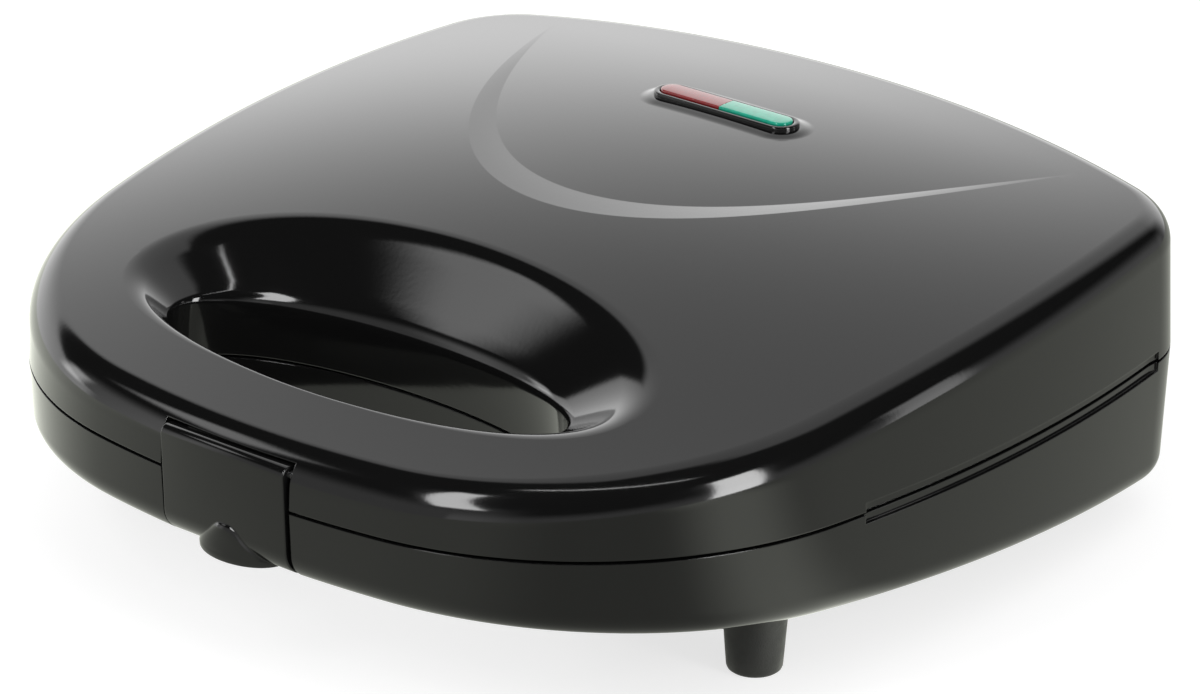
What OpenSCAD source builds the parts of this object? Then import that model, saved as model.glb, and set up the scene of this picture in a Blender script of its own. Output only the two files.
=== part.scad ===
// Countertop donut maker: a hinged pair of glossy housings that carry two
// ring-cavity baking plates, their heaters, a front latch and two pilot lights.
// Every dimension is in millimetres. While a piece is described, Y = 0 is the
// front edge of the parting plane, z = 0 is the parting plane itself, and X = 0
// is the plane of symmetry. place() then moves the whole onto its feet.

/* [Body] */
// Width of the housing at the parting plane
body_w = 230; // [215:1:260]
// Depth of the housing at the parting plane
body_d = 224; // [214:1:250]
// Height of the lid's top at its front edge, above the parting plane
lid_front_h = 8.8; // [7.5:0.1:12]
// How much higher the lid's rim is at the back than at the front
lid_rise = 18.6; // [12:0.2:26]
// Height of the dome that swells the middle of the lid
dome_h = 18.8; // [12:0.2:24]
// Depth of the lower housing at its front edge
base_front_h = 16.3; // [14:0.1:24]
// How much deeper the lower housing is at the back
base_rise = 18.4; // [12:0.2:24]
// Wall thickness of both housings
wall = 2.2; // [1.6:0.1:3]
// Rounding of the lid's top edge
lid_fillet = 7.2; // [4:0.2:8]
// Rounding of the lower housing's bottom edge
base_fillet = 6.3; // [4:0.2:8]
// Draft angle of the lid's side walls
lid_draft = 2.7; // [1:0.1:5]
// Draft angle of the lower housing's side walls
base_draft = 2.35; // [1:0.1:5]
// Open line between the two housings
parting_gap = 0.8; // [0.4:0.1:1.6]
// Height of the recessed band beside the parting line, on each housing
band_h = 2; // [1:0.1:3]
// Depth of that band
band_depth = 1; // [0.4:0.1:1.4]

/* [Handle opening] */
// Half length of the opening's rim in the lid
rim_half_l = 69.8; // [62:0.2:76]
// Distance from the front edge to the rim's front
rim_front = 22.6; // [21:0.2:28]
// Distance from the front edge to the rim's back
rim_back = 81.8; // [76:0.2:84]
// Half length of the finger opening
finger_half_l = 56; // [50:0.2:58]
// Distance from the front edge to the finger opening
finger_front = 24.4; // [24:0.2:29]
// Front-to-back width of the finger opening
finger_w = 40.6; // [36:0.2:40.8]
// Height at which the sloping back of the well meets the finger opening
well_step_h = 14.5; // [11:0.5:16]

/* [Sunken panel] */
// Distance from the front edge to the panel's rounded front
panel_front = 105; // [100:1:112]
// Width of the sloping band round the panel
panel_band = 10; // [6:0.5:12]
// Depth of the panel below the lid's surface
panel_depth = 1.3; // [0.6:0.1:1.8]
// Distance from the front edge to the points of the crescent
panel_tip = 200; // [190:1:203]

/* [Baking plates] */
// Radius of the channel's round section
channel_r = 8.5; // [7.6:0.1:8.7]
// Flange left between the bowls of neighbouring rings
ring_web = 2.8; // [2.2:0.1:4]
// Flange left in front of the first row of bowls and behind the last, on average
ring_margin = 6.35; // [6:0.05:8]
// Thickness of the plate's flange
plate_t = 3; // [2.4:0.1:3.4]
// Metal thickness of the bowls
bowl_t = 1.6; // [1.2:0.1:2]
// Width of the plates
plate_w = 188; // [170:1:192]
// Distance from the front edge to the plates
plate_front = 69; // [68.8:0.2:71]
// Distance from the plates to the housing's back edge
plate_back_gap = 7; // [6.5:0.5:9]
// Distance from a plate's face to the parting plane
plate_set = 0.6; // [0.4:0.1:1.2]
// Least width of housing outside the plates
plate_inset = 12.5; // [12:0.5:16]
// Assembly clearance between neighbouring pieces
fit_gap = 0.3; // [0.1:0.05:0.4]

/* [Heaters] */
// Diameter of the tubular heaters
heater_d = 6; // [5:0.1:6.6]
// Diameter of the pillars that carry the heater clamps
pillar_d = 7; // [6:0.1:7.6]
// Thickness of the heater clamps
clamp_t = 1.2; // [1:0.1:1.6]
// Thickness of the heat shields
shield_t = 0.8; // [0.6:0.1:1]

/* [Latch] */
// Width of the latch
latch_w = 36; // [30:0.5:40]
// Thickness of the latch
latch_t = 3; // [2.6:0.1:3.6]
// Height of the latch's pin above the parting plane
latch_pin_z = 7.9; // [7:0.1:8.2]
// Diameter of the latch's pin
latch_pin_d = 2; // [1.6:0.1:2.4]
// Clearance at each side of the latch
latch_gap = 0.5; // [0.3:0.1:1]
// Radius of the thumb tab
tab_r = 11; // [9:0.2:13]

/* [Hinge] */
// Distance from the housing's back edge to the hinge's axis
hinge_back = 5.4; // [5.2:0.1:7]
// Radius of the hinge knuckles
knuckle_r = 4.6; // [4:0.1:5]
// Diameter of the hinge pins
hinge_pin_d = 3.2; // [2.6:0.1:4]
// Distance from the plane of symmetry to the middle of a hinge
hinge_x = 62; // [50:1:66]
// Length of the lid's knuckle
knuckle_l = 15; // [10:0.5:20]
// Length of each of the base's knuckles
ear_l = 7; // [5:0.5:9]

/* [Pilot lights] */
// Length of the raised bezel
bezel_l = 43; // [38:0.5:46]
// Width of the raised bezel
bezel_w = 9; // [8:0.2:11]
// Height of the bezel above the lid
bezel_h = 1.8; // [1.2:0.1:2.6]
// Width of the lenses
lens_w = 5.8; // [5:0.1:6.4]
// Distance from the front edge to the lights
bezel_y = 172.5; // [168:0.5:176]

/* [Feet] */
// Height of the parting plane above the table
foot_plane = 40.5; // [38:0.5:46]
// Diameter of a foot at the table
foot_d = 12.4; // [10:0.2:15]
// How much a foot's diameter grows for each millimetre of its height
foot_taper = 0.15; // [0.05:0.01:0.2]
// Distance from the plane of symmetry to a front foot
front_foot_x = 88.5; // [80:0.5:92]
// Distance from the front edge to a front foot
front_foot_y = 72.5; // [68:0.5:80]
// Distance from the plane of symmetry to a rear foot
rear_foot_x = 82; // [70:0.5:86]
// Distance from the front edge to a rear foot
rear_foot_y = 188; // [180:0.5:192]
// Bore of the mains lead's inlet in the back wall
inlet_d = 9; // [7:0.5:11]

/* [Hidden] */
$fn = 48;

eps = 0.01;
half_gap = parting_gap / 2;
hinge_y = body_d + hinge_back;
hinge_end_y = hinge_y + knuckle_r;
// Angle of the lower housing's sloping underside
base_slope = atan(base_rise / body_d);

// ---------------------------------------------------------------- outline
// The outline is a chain of arcs, each [radius, swept angle, segments], from
// the middle of the front round to the middle of the back. The last arc takes
// the angle that is left of the half turn.
front_arcs = [[266.8, 8.8, 4], [83.25, 72, 10], [370.8, 18.4, 4], [25.3, 65.1, 8]];
front_turn = front_arcs[0][1] + front_arcs[1][1] + front_arcs[2][1] + front_arcs[3][1];
rear_segments = 4;

// Point at the end of an arc that starts at p with heading h
function arc_point(p, h, r, a) = p + r * [sin(h + a) - sin(h), cos(h) - cos(h + a)];
// Samples [x, y, heading] of one arc, without its first point
function arc_samples(p, h, arc) =
    [for (k = [1:arc[2]])
        let (a = arc[1] * k / arc[2], q = arc_point(p, h, arc[0], a)) [q.x, q.y, h + a]];
function chain(arcs, i = 0, p = [0, 0], h = 0) =
    i == len(arcs) ? [] :
    let (s = arc_samples(p, h, arcs[i]), e = s[len(s) - 1])
        concat(s, chain(arcs, i + 1, [e.x, e.y], e[2]));
front_chain = chain(front_arcs);
corner_end = front_chain[len(front_chain) - 1];
rear_turn = 180 - front_turn;
rear_r = corner_end.x / sin(rear_turn);
half_chain = concat([[0, 0, 0]], front_chain,
    arc_samples([corner_end.x, corner_end.y], corner_end[2], [rear_r, rear_turn, rear_segments]));
half_n = len(half_chain);
// Scale of the arcs to the housing's width and depth
arc_scale = [body_w / 2 / max([for (s = half_chain) s.x]), body_d / half_chain[half_n - 1].y];
function normal_of(h) = let (n = [sin(h) / arc_scale.x, -cos(h) / arc_scale.y]) n / norm(n);
// The whole outline, counter-clockwise from above, as [x, y, normal x, normal y]
outline = concat(
    [for (s = half_chain)
        let (n = normal_of(s[2])) [s.x * arc_scale.x, s.y * arc_scale.y, n.x, n.y]],
    [for (i = [half_n - 2:-1:1])
        let (s = half_chain[i], n = normal_of(s[2]))
            [-s.x * arc_scale.x, s.y * arc_scale.y, -n.x, n.y]]);
outline_n = len(outline);
function inset_point(s, d) = [s.x - s[2] * d, s.y - s[3] * d];
function inset_outline(d) = [for (s = outline) inset_point(s, d)];

// ---------------------------------------------------------------- surfaces
dome_half_x = 1.32 * body_w / 2;
dome_y = 0.59 * body_d;
dome_half_y = 0.81 * body_d;
// Height of the lid's outer surface above the parting plane
lid_height = function (p)
    lid_front_h + lid_rise * p.y / body_d
    + dome_h * (1 - pow(p.x / dome_half_x, 2)) * pow(cos(90 * (p.y - dome_y) / dome_half_y), 2);
// Depth of the lower housing's outer surface below the parting plane
base_depth = function (p) base_front_h + base_rise * p.y / body_d;

// ---------------------------------------------------------------- lofts
// A closed solid through rings of points that all have the same number of
// points, each counter-clockwise from above, stacked upward. The lowest ring
// is closed flat, the highest by a fan to the point top.
module loft(rings, top) {
    n = len(rings[0]);
    m = len(rings);
    points = concat([for (r = rings) each r], [top]);
    faces = concat(
        [[for (i = [0:n - 1]) i]],
        [for (k = [0:m - 2], i = [0:n - 1])
            let (j = (i + 1) % n) each [
                [k * n + i, (k + 1) * n + i, (k + 1) * n + j],
                [k * n + i, (k + 1) * n + j, k * n + j]]],
        [for (i = [0:n - 1])
            [(m - 1) * n + (i + 1) % n, (m - 1) * n + i, m * n]]);
    polyhedron(points, faces, convexity = 8);
}

fillet_steps = [0, 22.5, 45, 67.5, 90];
crown_steps = [0.93, 0.82, 0.66, 0.45, 0.22];
crown_centre = [0, body_d / 2];
// Rings of a housing whose surface is drop below height(p), set in by inset
function housing_rings(height, drop, inset, draft, fillet, z_low) =
    let (
        rim = [for (s = outline)
            let (
                set_in = inset + tan(draft) * (height([s.x, s.y]) - drop - fillet) + fillet,
                p = inset_point(s, set_in)
            ) [p.x, p.y]]
    )
    concat(
        [[for (s = outline) let (p = inset_point(s, inset)) [p.x, p.y, z_low]]],
        [for (a = fillet_steps) [for (i = [0:outline_n - 1])
            let (
                s = outline[i],
                wall_h = height([s.x, s.y]) - drop - fillet,
                p = inset_point(s, inset + tan(draft) * wall_h + fillet * (1 - cos(a)))
            ) [p.x, p.y, height(p) - drop - fillet * (1 - sin(a))]]],
        [for (k = crown_steps) [for (p = rim)
            let (q = crown_centre + (p - crown_centre) * k) [q.x, q.y, height(q) - drop]]]);

module housing(height, drop, inset, draft, fillet, z_low) {
    loft(housing_rings(height, drop, inset, draft, fillet, z_low),
        [crown_centre.x, crown_centre.y, height(crown_centre) - drop]);
}

// ---------------------------------------------------------------- handle well
finger_back = finger_front + finger_w;
well_n = 40;
well_power = 2.05;
// A point of an oval that reaches half_l sideways and from front to back in Y,
// widest at the depth waist
function oval_point(a, half_l, front, back, waist) = [
    half_l * sign(cos(a)) * pow(abs(cos(a)), 2 / well_power),
    waist + (sin(a) > 0 ? back - waist : waist - front)
        * sign(sin(a)) * pow(abs(sin(a)), 2 / well_power)];
function mix(a, b, f) = a + (b - a) * f;
finger_waist = finger_front + finger_w / 2;
rim_waist = rim_front + 0.46 * (rim_back - rim_front);
// Ring of the well, from the finger opening (f = 0) to the rim (f = 1)
function well_point(i, f, grow) =
    oval_point(360 * (i + 0.5) / well_n,
        mix(finger_half_l, rim_half_l, f) + grow,
        mix(finger_front, rim_front, f) - grow,
        mix(finger_back, rim_back, f) + grow,
        mix(finger_waist, rim_waist, f));
// Level of the well's sloping back: f = 0 at the finger opening, 1 at the rim
function well_level(p, f) = mix(well_step_h, lid_height(p), f);
function well_ring(f, grow, drop, lift = 0) = [for (i = [0:well_n - 1])
    let (p = well_point(i, f, grow)) [p.x, p.y, well_level(p, f) - drop + lift]];
function flat_well_ring(grow, z) = [for (i = [0:well_n - 1])
    let (p = well_point(i, 0, grow)) [p.x, p.y, z]];
well_top = [0, rim_waist, 60];
rim_roll = 2.4;

module well_cut() {
    loft([
        flat_well_ring(0, -2),
        flat_well_ring(0, well_step_h - 2),
        well_ring(0.07, 0, 0.4),
        well_ring(0.5, 0, 0),
        well_ring(0.92, 0, 0.2),
        well_ring(1, 0, 0.8, 0.35),
        well_ring(1, rim_roll, 0, eps),
        well_ring(1, rim_roll, 0, 12),
    ], well_top);
}

module well_wall() {
    loft([
        flat_well_ring(wall, half_gap),
        flat_well_ring(wall, well_step_h - wall - 2),
        well_ring(0.07, wall, wall),
        well_ring(0.5, wall, wall),
        well_ring(1, wall, wall),
        well_ring(1, rim_roll + wall, wall / 2),
        well_ring(1, rim_roll + wall, 0, 12),
    ], well_top);
}

// ---------------------------------------------------------------- panel
panel_half_l = 79;
panel_columns = 20;
panel_rows = [0, 0.14, 0.3, 0.5, 0.75, 1];
// The crescent's two curves, as the distance behind the front edge at x
function crescent_outer(x) = let (u = x / panel_half_l)
    panel_front + (panel_tip - panel_front) * (0.72 * u * u + 0.28 * pow(u, 4));
function crescent_inner(x) = let (u = x / panel_half_l)
    crescent_outer(x) + panel_band * (1 - pow(u, 6)) + eps;
function panel_sink(y) = panel_depth * min(1, max(0, (panel_tip - y) / (panel_tip - panel_front - panel_band)));
panel_grid = [for (c = [0:panel_columns])
    let (
        x = panel_half_l * (2 * c / panel_columns - 1),
        y_out = crescent_outer(x), y_in = crescent_inner(x),
        edge = [x, y_out]
    ) concat(
        [[x, y_out, lid_height(edge) + eps]],
        [for (f = panel_rows)
            let (y = mix(y_in, panel_tip + 5 * eps, f), p = [x, y])
                [x, y, lid_height(p) - panel_sink(y) + eps]])];

// Solid between the sunken surface and a level above the lid
module panel_cut() {
    rows = len(panel_grid[0]);
    columns = panel_columns + 1;
    ceiling = 50;
    low = [for (c = panel_grid) each c];
    high = [for (c = panel_grid) each [for (p = c) [p.x, p.y, ceiling]]];
    count = len(low);
    side = function (a, b) [[a, a + count, b + count], [a, b + count, b]];
    faces = concat(
        [for (c = [0:columns - 2], r = [0:rows - 2])
            let (a = c * rows + r, b = a + rows) each [
                [a, b, b + 1], [a, b + 1, a + 1],
                [a + count, b + 1 + count, b + count], [a + count, a + 1 + count, b + 1 + count]]],
        [for (r = [0:rows - 2]) each side(r + 1, r)],
        [for (r = [0:rows - 2]) each side((columns - 1) * rows + r, (columns - 1) * rows + r + 1)],
        [for (c = [0:columns - 2]) each side(c * rows, (c + 1) * rows)],
        [for (c = [0:columns - 2]) each side((c + 2) * rows - 1, (c + 1) * rows - 1)]);
    polyhedron(concat(low, high), faces, convexity = 8);
}

// ---------------------------------------------------------------- plates
plate_l = body_d - plate_front - plate_back_gap;
plate_back = plate_front + plate_l;
plate_corner_r = 16;
// Three rows of rings fill the plates from front to back
ring_out = (plate_l - 2 * ring_margin - 2 * sin(60) * ring_web) / (2 + 4 * sin(60));
ring_pitch = 2 * ring_out + ring_web;
// Radius from a ring's centre to the middle of its channel
ring_r = ring_out - bowl_t - channel_r;
// The rings sit forward of the plates' middle by this much, clear of the back corners
ring_forward = 3.1;
ring_centre_y = plate_front + plate_l / 2 - ring_forward;
// Centres of the rings: one in the middle and six round it
ring_centres = concat([[0, ring_centre_y]],
    [for (a = [0:60:300]) [ring_pitch * cos(a), ring_centre_y + ring_pitch * sin(a)]]);
bowl_r = channel_r + bowl_t;
bowl_depth = plate_set + bowl_r;

module rounded_rect(x0, y0, x1, y1, r) {
    translate([x0 + r, y0]) square([x1 - x0 - 2 * r, y1 - y0]);
    translate([x0, y0 + r]) square([x1 - x0, y1 - y0 - 2 * r]);
    for (x = [x0 + r, x1 - r], y = [y0 + r, y1 - r]) translate([x, y]) circle(r);
}

// Outline of the baking plates, grown by grow
module plate_shape(grow) {
    intersection() {
        polygon(inset_outline(plate_inset - grow));
        rounded_rect(-plate_w / 2 - grow, plate_front - grow,
            plate_w / 2 + grow, plate_back + grow, plate_corner_r + grow);
    }
}

// Corner places of the plate screws
plate_screw_x = plate_w / 2 - 14;
plate_screw_places = [
    [-plate_screw_x, plate_front + 13], [plate_screw_x, plate_front + 13],
    [-plate_screw_x + 6, plate_back - 13], [plate_screw_x - 6, plate_back - 13],
];
plate_bolt_d = 3.6;
plate_hole_d = 4.2;
plate_head_d = 7.2;
plate_head_h = 1.8;
plate_boss_d = 9;

// Pillars that carry the clamps stand between the outer rings
pillar_out = ring_pitch / cos(30);
pillar_places = [for (a = [90, 210, 330])
    [pillar_out * cos(a), ring_centre_y + pillar_out * sin(a)]];
// The heaters run under the outer rings; their radius is kept to half millimetres
heater_ring_r = round(2 * ring_pitch) / 2;
heater_top = bowl_depth + fit_gap;
heater_z = heater_top + heater_d / 2;
clamp_z = heater_top + heater_d;
pillar_bolt_d = 3;

// One plate, its face downward from z = -plate_set
module baking_plate() {
    difference() {
        union() {
            translate([0, 0, -plate_set - plate_t]) linear_extrude(plate_t) plate_shape(0);
            for (c = ring_centres) translate([c.x, c.y, -plate_set]) bowl();
            for (p = pillar_places) translate([p.x, p.y, -clamp_z])
                cylinder(d = pillar_d, h = clamp_z - plate_set - eps);
        }
        for (c = ring_centres) translate([c.x, c.y, -plate_set]) ring_cavity();
        for (p = plate_screw_places) translate([p.x, p.y, 0]) {
            translate([0, 0, -plate_set - plate_t - 1]) cylinder(d = plate_hole_d, h = plate_t + 2);
            translate([0, 0, -plate_set - plate_head_h - fit_gap])
                cylinder(d = plate_head_d + 2 * fit_gap, h = plate_head_h + 2);
        }
        for (p = pillar_places) translate([p.x, p.y, -clamp_z - 1])
            cylinder(d = pillar_bolt_d, h = pillar_hole_l + 1);
    }
}
pillar_hole_l = 10;

// Half-round ring channel that the batter fills; its middle post reaches the face
module ring_cavity() {
    rotate_extrude() intersection() {
        translate([ring_r, 0]) circle(channel_r);
        translate([0, -channel_r - 1]) square([ring_r + channel_r + 1, channel_r + 1 + 2 * eps]);
    }
}

// Outside of the metal round one channel, closed under the middle post
module bowl() {
    rotate_extrude() {
        intersection() {
            translate([ring_r, 0]) circle(bowl_r);
            translate([ring_r, -bowl_r - 1]) square([bowl_r + 1, bowl_r + 1 - eps]);
        }
        translate([0, -bowl_r]) square([ring_r + eps, bowl_r - eps]);
    }
}

// ---------------------------------------------------------------- heaters
heater_gap_a = 20;
heater_bend_r = 9;
terminal_l = 8;

// Round tubular heater whose two ends bend towards the back
module heater() {
    end_x = heater_ring_r * sin(heater_gap_a);
    end_y = heater_ring_r * cos(heater_gap_a);
    bend = 90 - heater_gap_a;
    translate([0, ring_centre_y, -heater_z]) {
        rotate([0, 0, 90 + heater_gap_a]) rotate_extrude(angle = 360 - 2 * heater_gap_a)
            translate([heater_ring_r, 0]) circle(d = heater_d);
        for (m = [0, 1]) mirror([m, 0, 0]) translate([end_x, end_y, 0]) rotate([0, 0, -heater_gap_a]) {
            translate([0, heater_bend_r, 0]) rotate([0, 0, -90 - bend]) rotate_extrude(angle = bend)
                translate([heater_bend_r, 0]) circle(d = heater_d);
            translate([0, heater_bend_r, 0]) rotate([0, 0, -bend]) translate([0, -heater_bend_r, 0])
                rotate([0, -90, 0]) cylinder(d = heater_d, h = terminal_l);
        }
    }
}

clamp_w = 9;
clamp_in = heater_ring_r - heater_d / 2 - 2;
clamp_out = pillar_out + pillar_d / 2;
// The back clamp bridges both ends of the heater
back_clamp_w = 2 * heater_ring_r * sin(heater_gap_a) + 12;
// Straps that press the heater against the bowls
module clamps() {
    for (a = [90, 210, 330]) translate([0, ring_centre_y, -clamp_z - clamp_t]) rotate([0, 0, a])
        difference() {
            w = a == 90 ? back_clamp_w : clamp_w;
            start = a == 90 ? clamp_in - 5 : clamp_in;
            translate([start, -w / 2, 0]) cube([clamp_out - start, w, clamp_t]);
            translate([pillar_out, 0, -1]) cylinder(d = plate_hole_d, h = clamp_t + 2);
        }
}

shield_inset = 7;
shield_lip = 4;
shield_top = clamp_z + clamp_t;
// Bright sheet-metal tray that turns the heat back to the plate
module shield() {
    difference() {
        union() {
            translate([0, 0, -shield_top - shield_t]) linear_extrude(shield_t) shield_shape(0);
            translate([0, 0, -shield_top - shield_t]) linear_extrude(shield_lip) difference() {
                shield_shape(0);
                shield_shape(-shield_t);
            }
        }
        for (p = pillar_places) translate([p.x, p.y, -shield_top - shield_t - 1])
            cylinder(d = plate_hole_d, h = shield_t + 2);
    }
}
shield_front = ring_centre_y - heater_ring_r - heater_d / 2 - 1.2 - shield_t;
shield_half_w = plate_screw_x - 6 - plate_boss_d / 2 - 3;
module shield_shape(grow) {
    rounded_rect(-shield_half_w - grow, shield_front - grow,
        shield_half_w + grow, plate_back - shield_inset + grow, 10 + grow);
}

module screw(shaft_d, shaft_l, head_d, head_h) {
    translate([0, 0, -shaft_l]) cylinder(d = shaft_d, h = shaft_l + eps);
    difference() {
        cylinder(d = head_d, h = head_h);
        for (a = [0, 90]) rotate([0, 0, a])
            translate([-head_d / 3, -0.4, head_h - 0.8]) cube([head_d / 1.5, 0.8, 1]);
    }
}

bolt_play = 0.1;
clamp_head_h = 1.2;
clamp_head_d = 5.6;
clamp_grip = 7;
plate_screw_l = 9;
module clamp_screws() {
    for (p = pillar_places) translate([p.x, p.y, -shield_top - shield_t]) mirror([0, 0, 1])
        screw(pillar_bolt_d - bolt_play, clamp_grip + clamp_t + shield_t, clamp_head_d, clamp_head_h);
}

module plate_screws() {
    for (p = plate_screw_places) translate([p.x, p.y, -plate_set - plate_head_h])
        screw(plate_bolt_d, plate_screw_l, plate_head_d, plate_head_h);
}

// ---------------------------------------------------------------- frames
frame_t = 3;
frame_lip = 3;
frame_lip_t = 2;
frame_drop = plate_set;
// Inset of the frames' edge, inside the drafted walls
frame_inset = wall + fit_gap + tan(max(lid_draft, base_draft)) * (plate_set + 3);
frame_boss_d = 7.4;
frame_boss_l = 6;
frame_boss_low = plate_set + 3 + frame_boss_l;
frame_head_seat = frame_drop + 1.6;
frame_bolt_d = 3;
small_head_d = 5.4;
frame_screw_l = 9;
frame_screw_h = 1.4;
base_screw_h = 1.8;
frame_boss_inset = 8.5;
// Places of the frame's bosses, on a line set in from the outline
frame_boss_index = [12, 17, outline_n - 17, outline_n - 12];
frame_boss_places = [for (i = frame_boss_index) inset_point(outline[i], frame_boss_inset)];

module finger_shape(grow) {
    polygon([for (i = [0:well_n - 1]) well_point(i, 0, grow)]);
}

// Flat ring that closes a housing at the parting plane and carries its plate
module frame() {
    difference() {
        union() {
            translate([0, 0, -frame_drop - frame_t]) linear_extrude(frame_t)
                polygon(inset_outline(frame_inset));
            translate([0, 0, -frame_drop - frame_t - frame_lip_t]) linear_extrude(frame_lip_t + eps)
                plate_shape(frame_lip);
        }
        translate([0, 0, -frame_drop - plate_t]) linear_extrude(plate_t + 1) plate_shape(fit_gap);
        translate([0, 0, -20]) linear_extrude(30) plate_shape(-frame_lip);
        translate([0, 0, -20]) linear_extrude(30) finger_shape(wall + fit_gap);
        translate([-latch_w / 2 - 5, -5, -20]) cube([latch_w + 10, pocket_depth + 5 + wall + fit_gap, 30]);
        for (p = plate_screw_places) translate([p.x, p.y, -20])
            cylinder(d = plate_boss_d + 2 * fit_gap, h = 30);
    }
}

// ---------------------------------------------------------------- latch
latch_front = -0.2;
latch_barrel_r = 2.8;
latch_axis_y = latch_front + latch_barrel_r;
latch_low = 13.9;
pocket_depth = 6.2;
pocket_top = latch_pin_z + latch_barrel_r + 1.6;
catch_z = 7.4;
catch_t = 1.6;
catch_reach = 1.3;
hook_reach = pocket_depth - latch_t - latch_front - catch_reach - 0.25;

// Hollow that takes the latch, cut through both housings
module latch_pocket() {
    translate([-latch_w / 2 - latch_gap, -8, -30])
        cube([latch_w + 2 * latch_gap, 8 + pocket_depth, 30 + pocket_top]);
}

module pocket_wall(z0, z1) {
    translate([-latch_w / 2 - latch_gap - wall, 1, z0])
        cube([latch_w + 2 * latch_gap + 2 * wall, pocket_depth + wall - 1, z1 - z0]);
}

module latch() {
    color([0.07, 0.07, 0.07]) place() difference() {
        union() {
            translate([-latch_w / 2, 0, 0]) rotate([90, 0, 90]) linear_extrude(latch_w) latch_profile();
            translate([-latch_w / 4, 0, -catch_z - 2.1]) hook();
            intersection() {
                translate([0, tab_seat, -tab_low]) thumb_tab();
                translate([-50, -50, -50]) cube([100, 50 + latch_front + latch_t, 100]);
            }
        }
        translate([-latch_w, latch_axis_y, latch_pin_z]) rotate([0, 90, 0])
            cylinder(d = latch_pin_d + 0.12, h = 2 * latch_w);
        translate([-spring_l / 2 - 0.6, latch_axis_y - 2.1, latch_pin_z - 3.4])
            cube([spring_l + 1.2, 8, 12]);
    }
}

// Side view of the latch: a barrel round its pin and a face that follows the
// housings down and tucks in at the bottom edge
module latch_profile() {
    translate([latch_axis_y, latch_pin_z]) circle(latch_barrel_r);
    difference() {
        translate([latch_front, -latch_low]) square([latch_t + 2.4, latch_low + latch_pin_z]);
        translate([latch_front + latch_t, -latch_low + 2.6]) square([10, latch_low + latch_pin_z + 10]);
        translate([latch_front + base_fillet, base_fillet - base_front_h]) difference() {
            translate([-base_fillet - 1, -base_fillet - 1]) square(base_fillet + 1);
            circle(base_fillet);
        }
    }
}

// Nose behind the latch that the catch of the lower housing holds
module hook() {
    translate([0, latch_front + latch_t - eps, 0]) rotate([90, 0, 90]) linear_extrude(latch_w / 2)
        polygon([[0, 0], [hook_reach, 1.2], [hook_reach, 1.8], [0, 1.8]]);
}

tab_seat = 3.3;
tab_low = 12.8;
tab_edge = 1.1;
tab_h = 3.8;
// Flared lip for the thumb
module thumb_tab() {
    cylinder(r = tab_r, h = tab_edge);
    translate([0, 0, tab_edge - eps]) cylinder(r1 = tab_r, r2 = tab_seat, h = tab_h);
}

spring_l = 9;
spring_wire = 0.7;
module latch_pin() {
    color("silver") place()
        translate([-latch_w / 2 - latch_gap - wall, latch_axis_y, latch_pin_z]) rotate([0, 90, 0])
            cylinder(d = latch_pin_d, h = latch_w + 2 * latch_gap + 2 * wall);
}

// Torsion spring: turns of wire round the pin, drawn as close rings with one leg
module latch_spring() {
    coil_r = latch_pin_d / 2 + 0.15 + spring_wire / 2;
    color("gray") place() translate([0, latch_axis_y, latch_pin_z]) {
        for (i = [0:10]) translate([-spring_l / 2 + spring_wire / 2 + i * (spring_l - spring_wire) / 10, 0, 0])
            rotate([0, 90, 0]) rotate_extrude() translate([coil_r, 0]) circle(d = spring_wire + 0.16);
        translate([spring_l / 2 - spring_wire / 2, -coil_r + 0.2, -2.6]) cylinder(d = spring_wire, h = 2.6);
    }
}

// ---------------------------------------------------------------- hinge
knuckle_gap = 0.4;
hinge_bore = hinge_pin_d + 0.12;
knuckle_web_t = 6;

module knuckle(x, l) {
    translate([x, hinge_y, 0]) rotate([0, 90, 0]) cylinder(r = knuckle_r, h = l);
}

// Web from a housing's back wall to its knuckle
module knuckle_web(x, l, z0, z1) {
    translate([x, body_d - 20, z0]) cube([l, hinge_back + 20, z1 - z0]);
}

// Keeps the hinge webs out of the housings' insides
module inside_of_wall() {
    translate([0, 0, -20]) linear_extrude(40) polygon(inset_outline(wall * 0.6));
}

module hinge_bore_cut() {
    for (s = [-1, 1]) translate([s * hinge_x - 30, hinge_y, 0]) rotate([0, 90, 0])
        cylinder(d = hinge_bore, h = 60);
}

module hinge_pins() {
    reach = knuckle_l / 2 + knuckle_gap + ear_l;
    color("silver") place() for (s = [-1, 1])
        translate([s * hinge_x - reach, hinge_y, 0]) rotate([0, 90, 0]) cylinder(d = hinge_pin_d, h = 2 * reach);
}

// ---------------------------------------------------------------- housings
module side_band(z0, z1) {
    translate([0, 0, z0]) linear_extrude(z1 - z0) difference() {
        translate([-body_w, band_start]) square([2 * body_w, band_end - band_start]);
        polygon(inset_outline(band_depth));
    }
}
band_start = 0.36 * body_d;
band_end = 0.85 * body_d;

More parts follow.
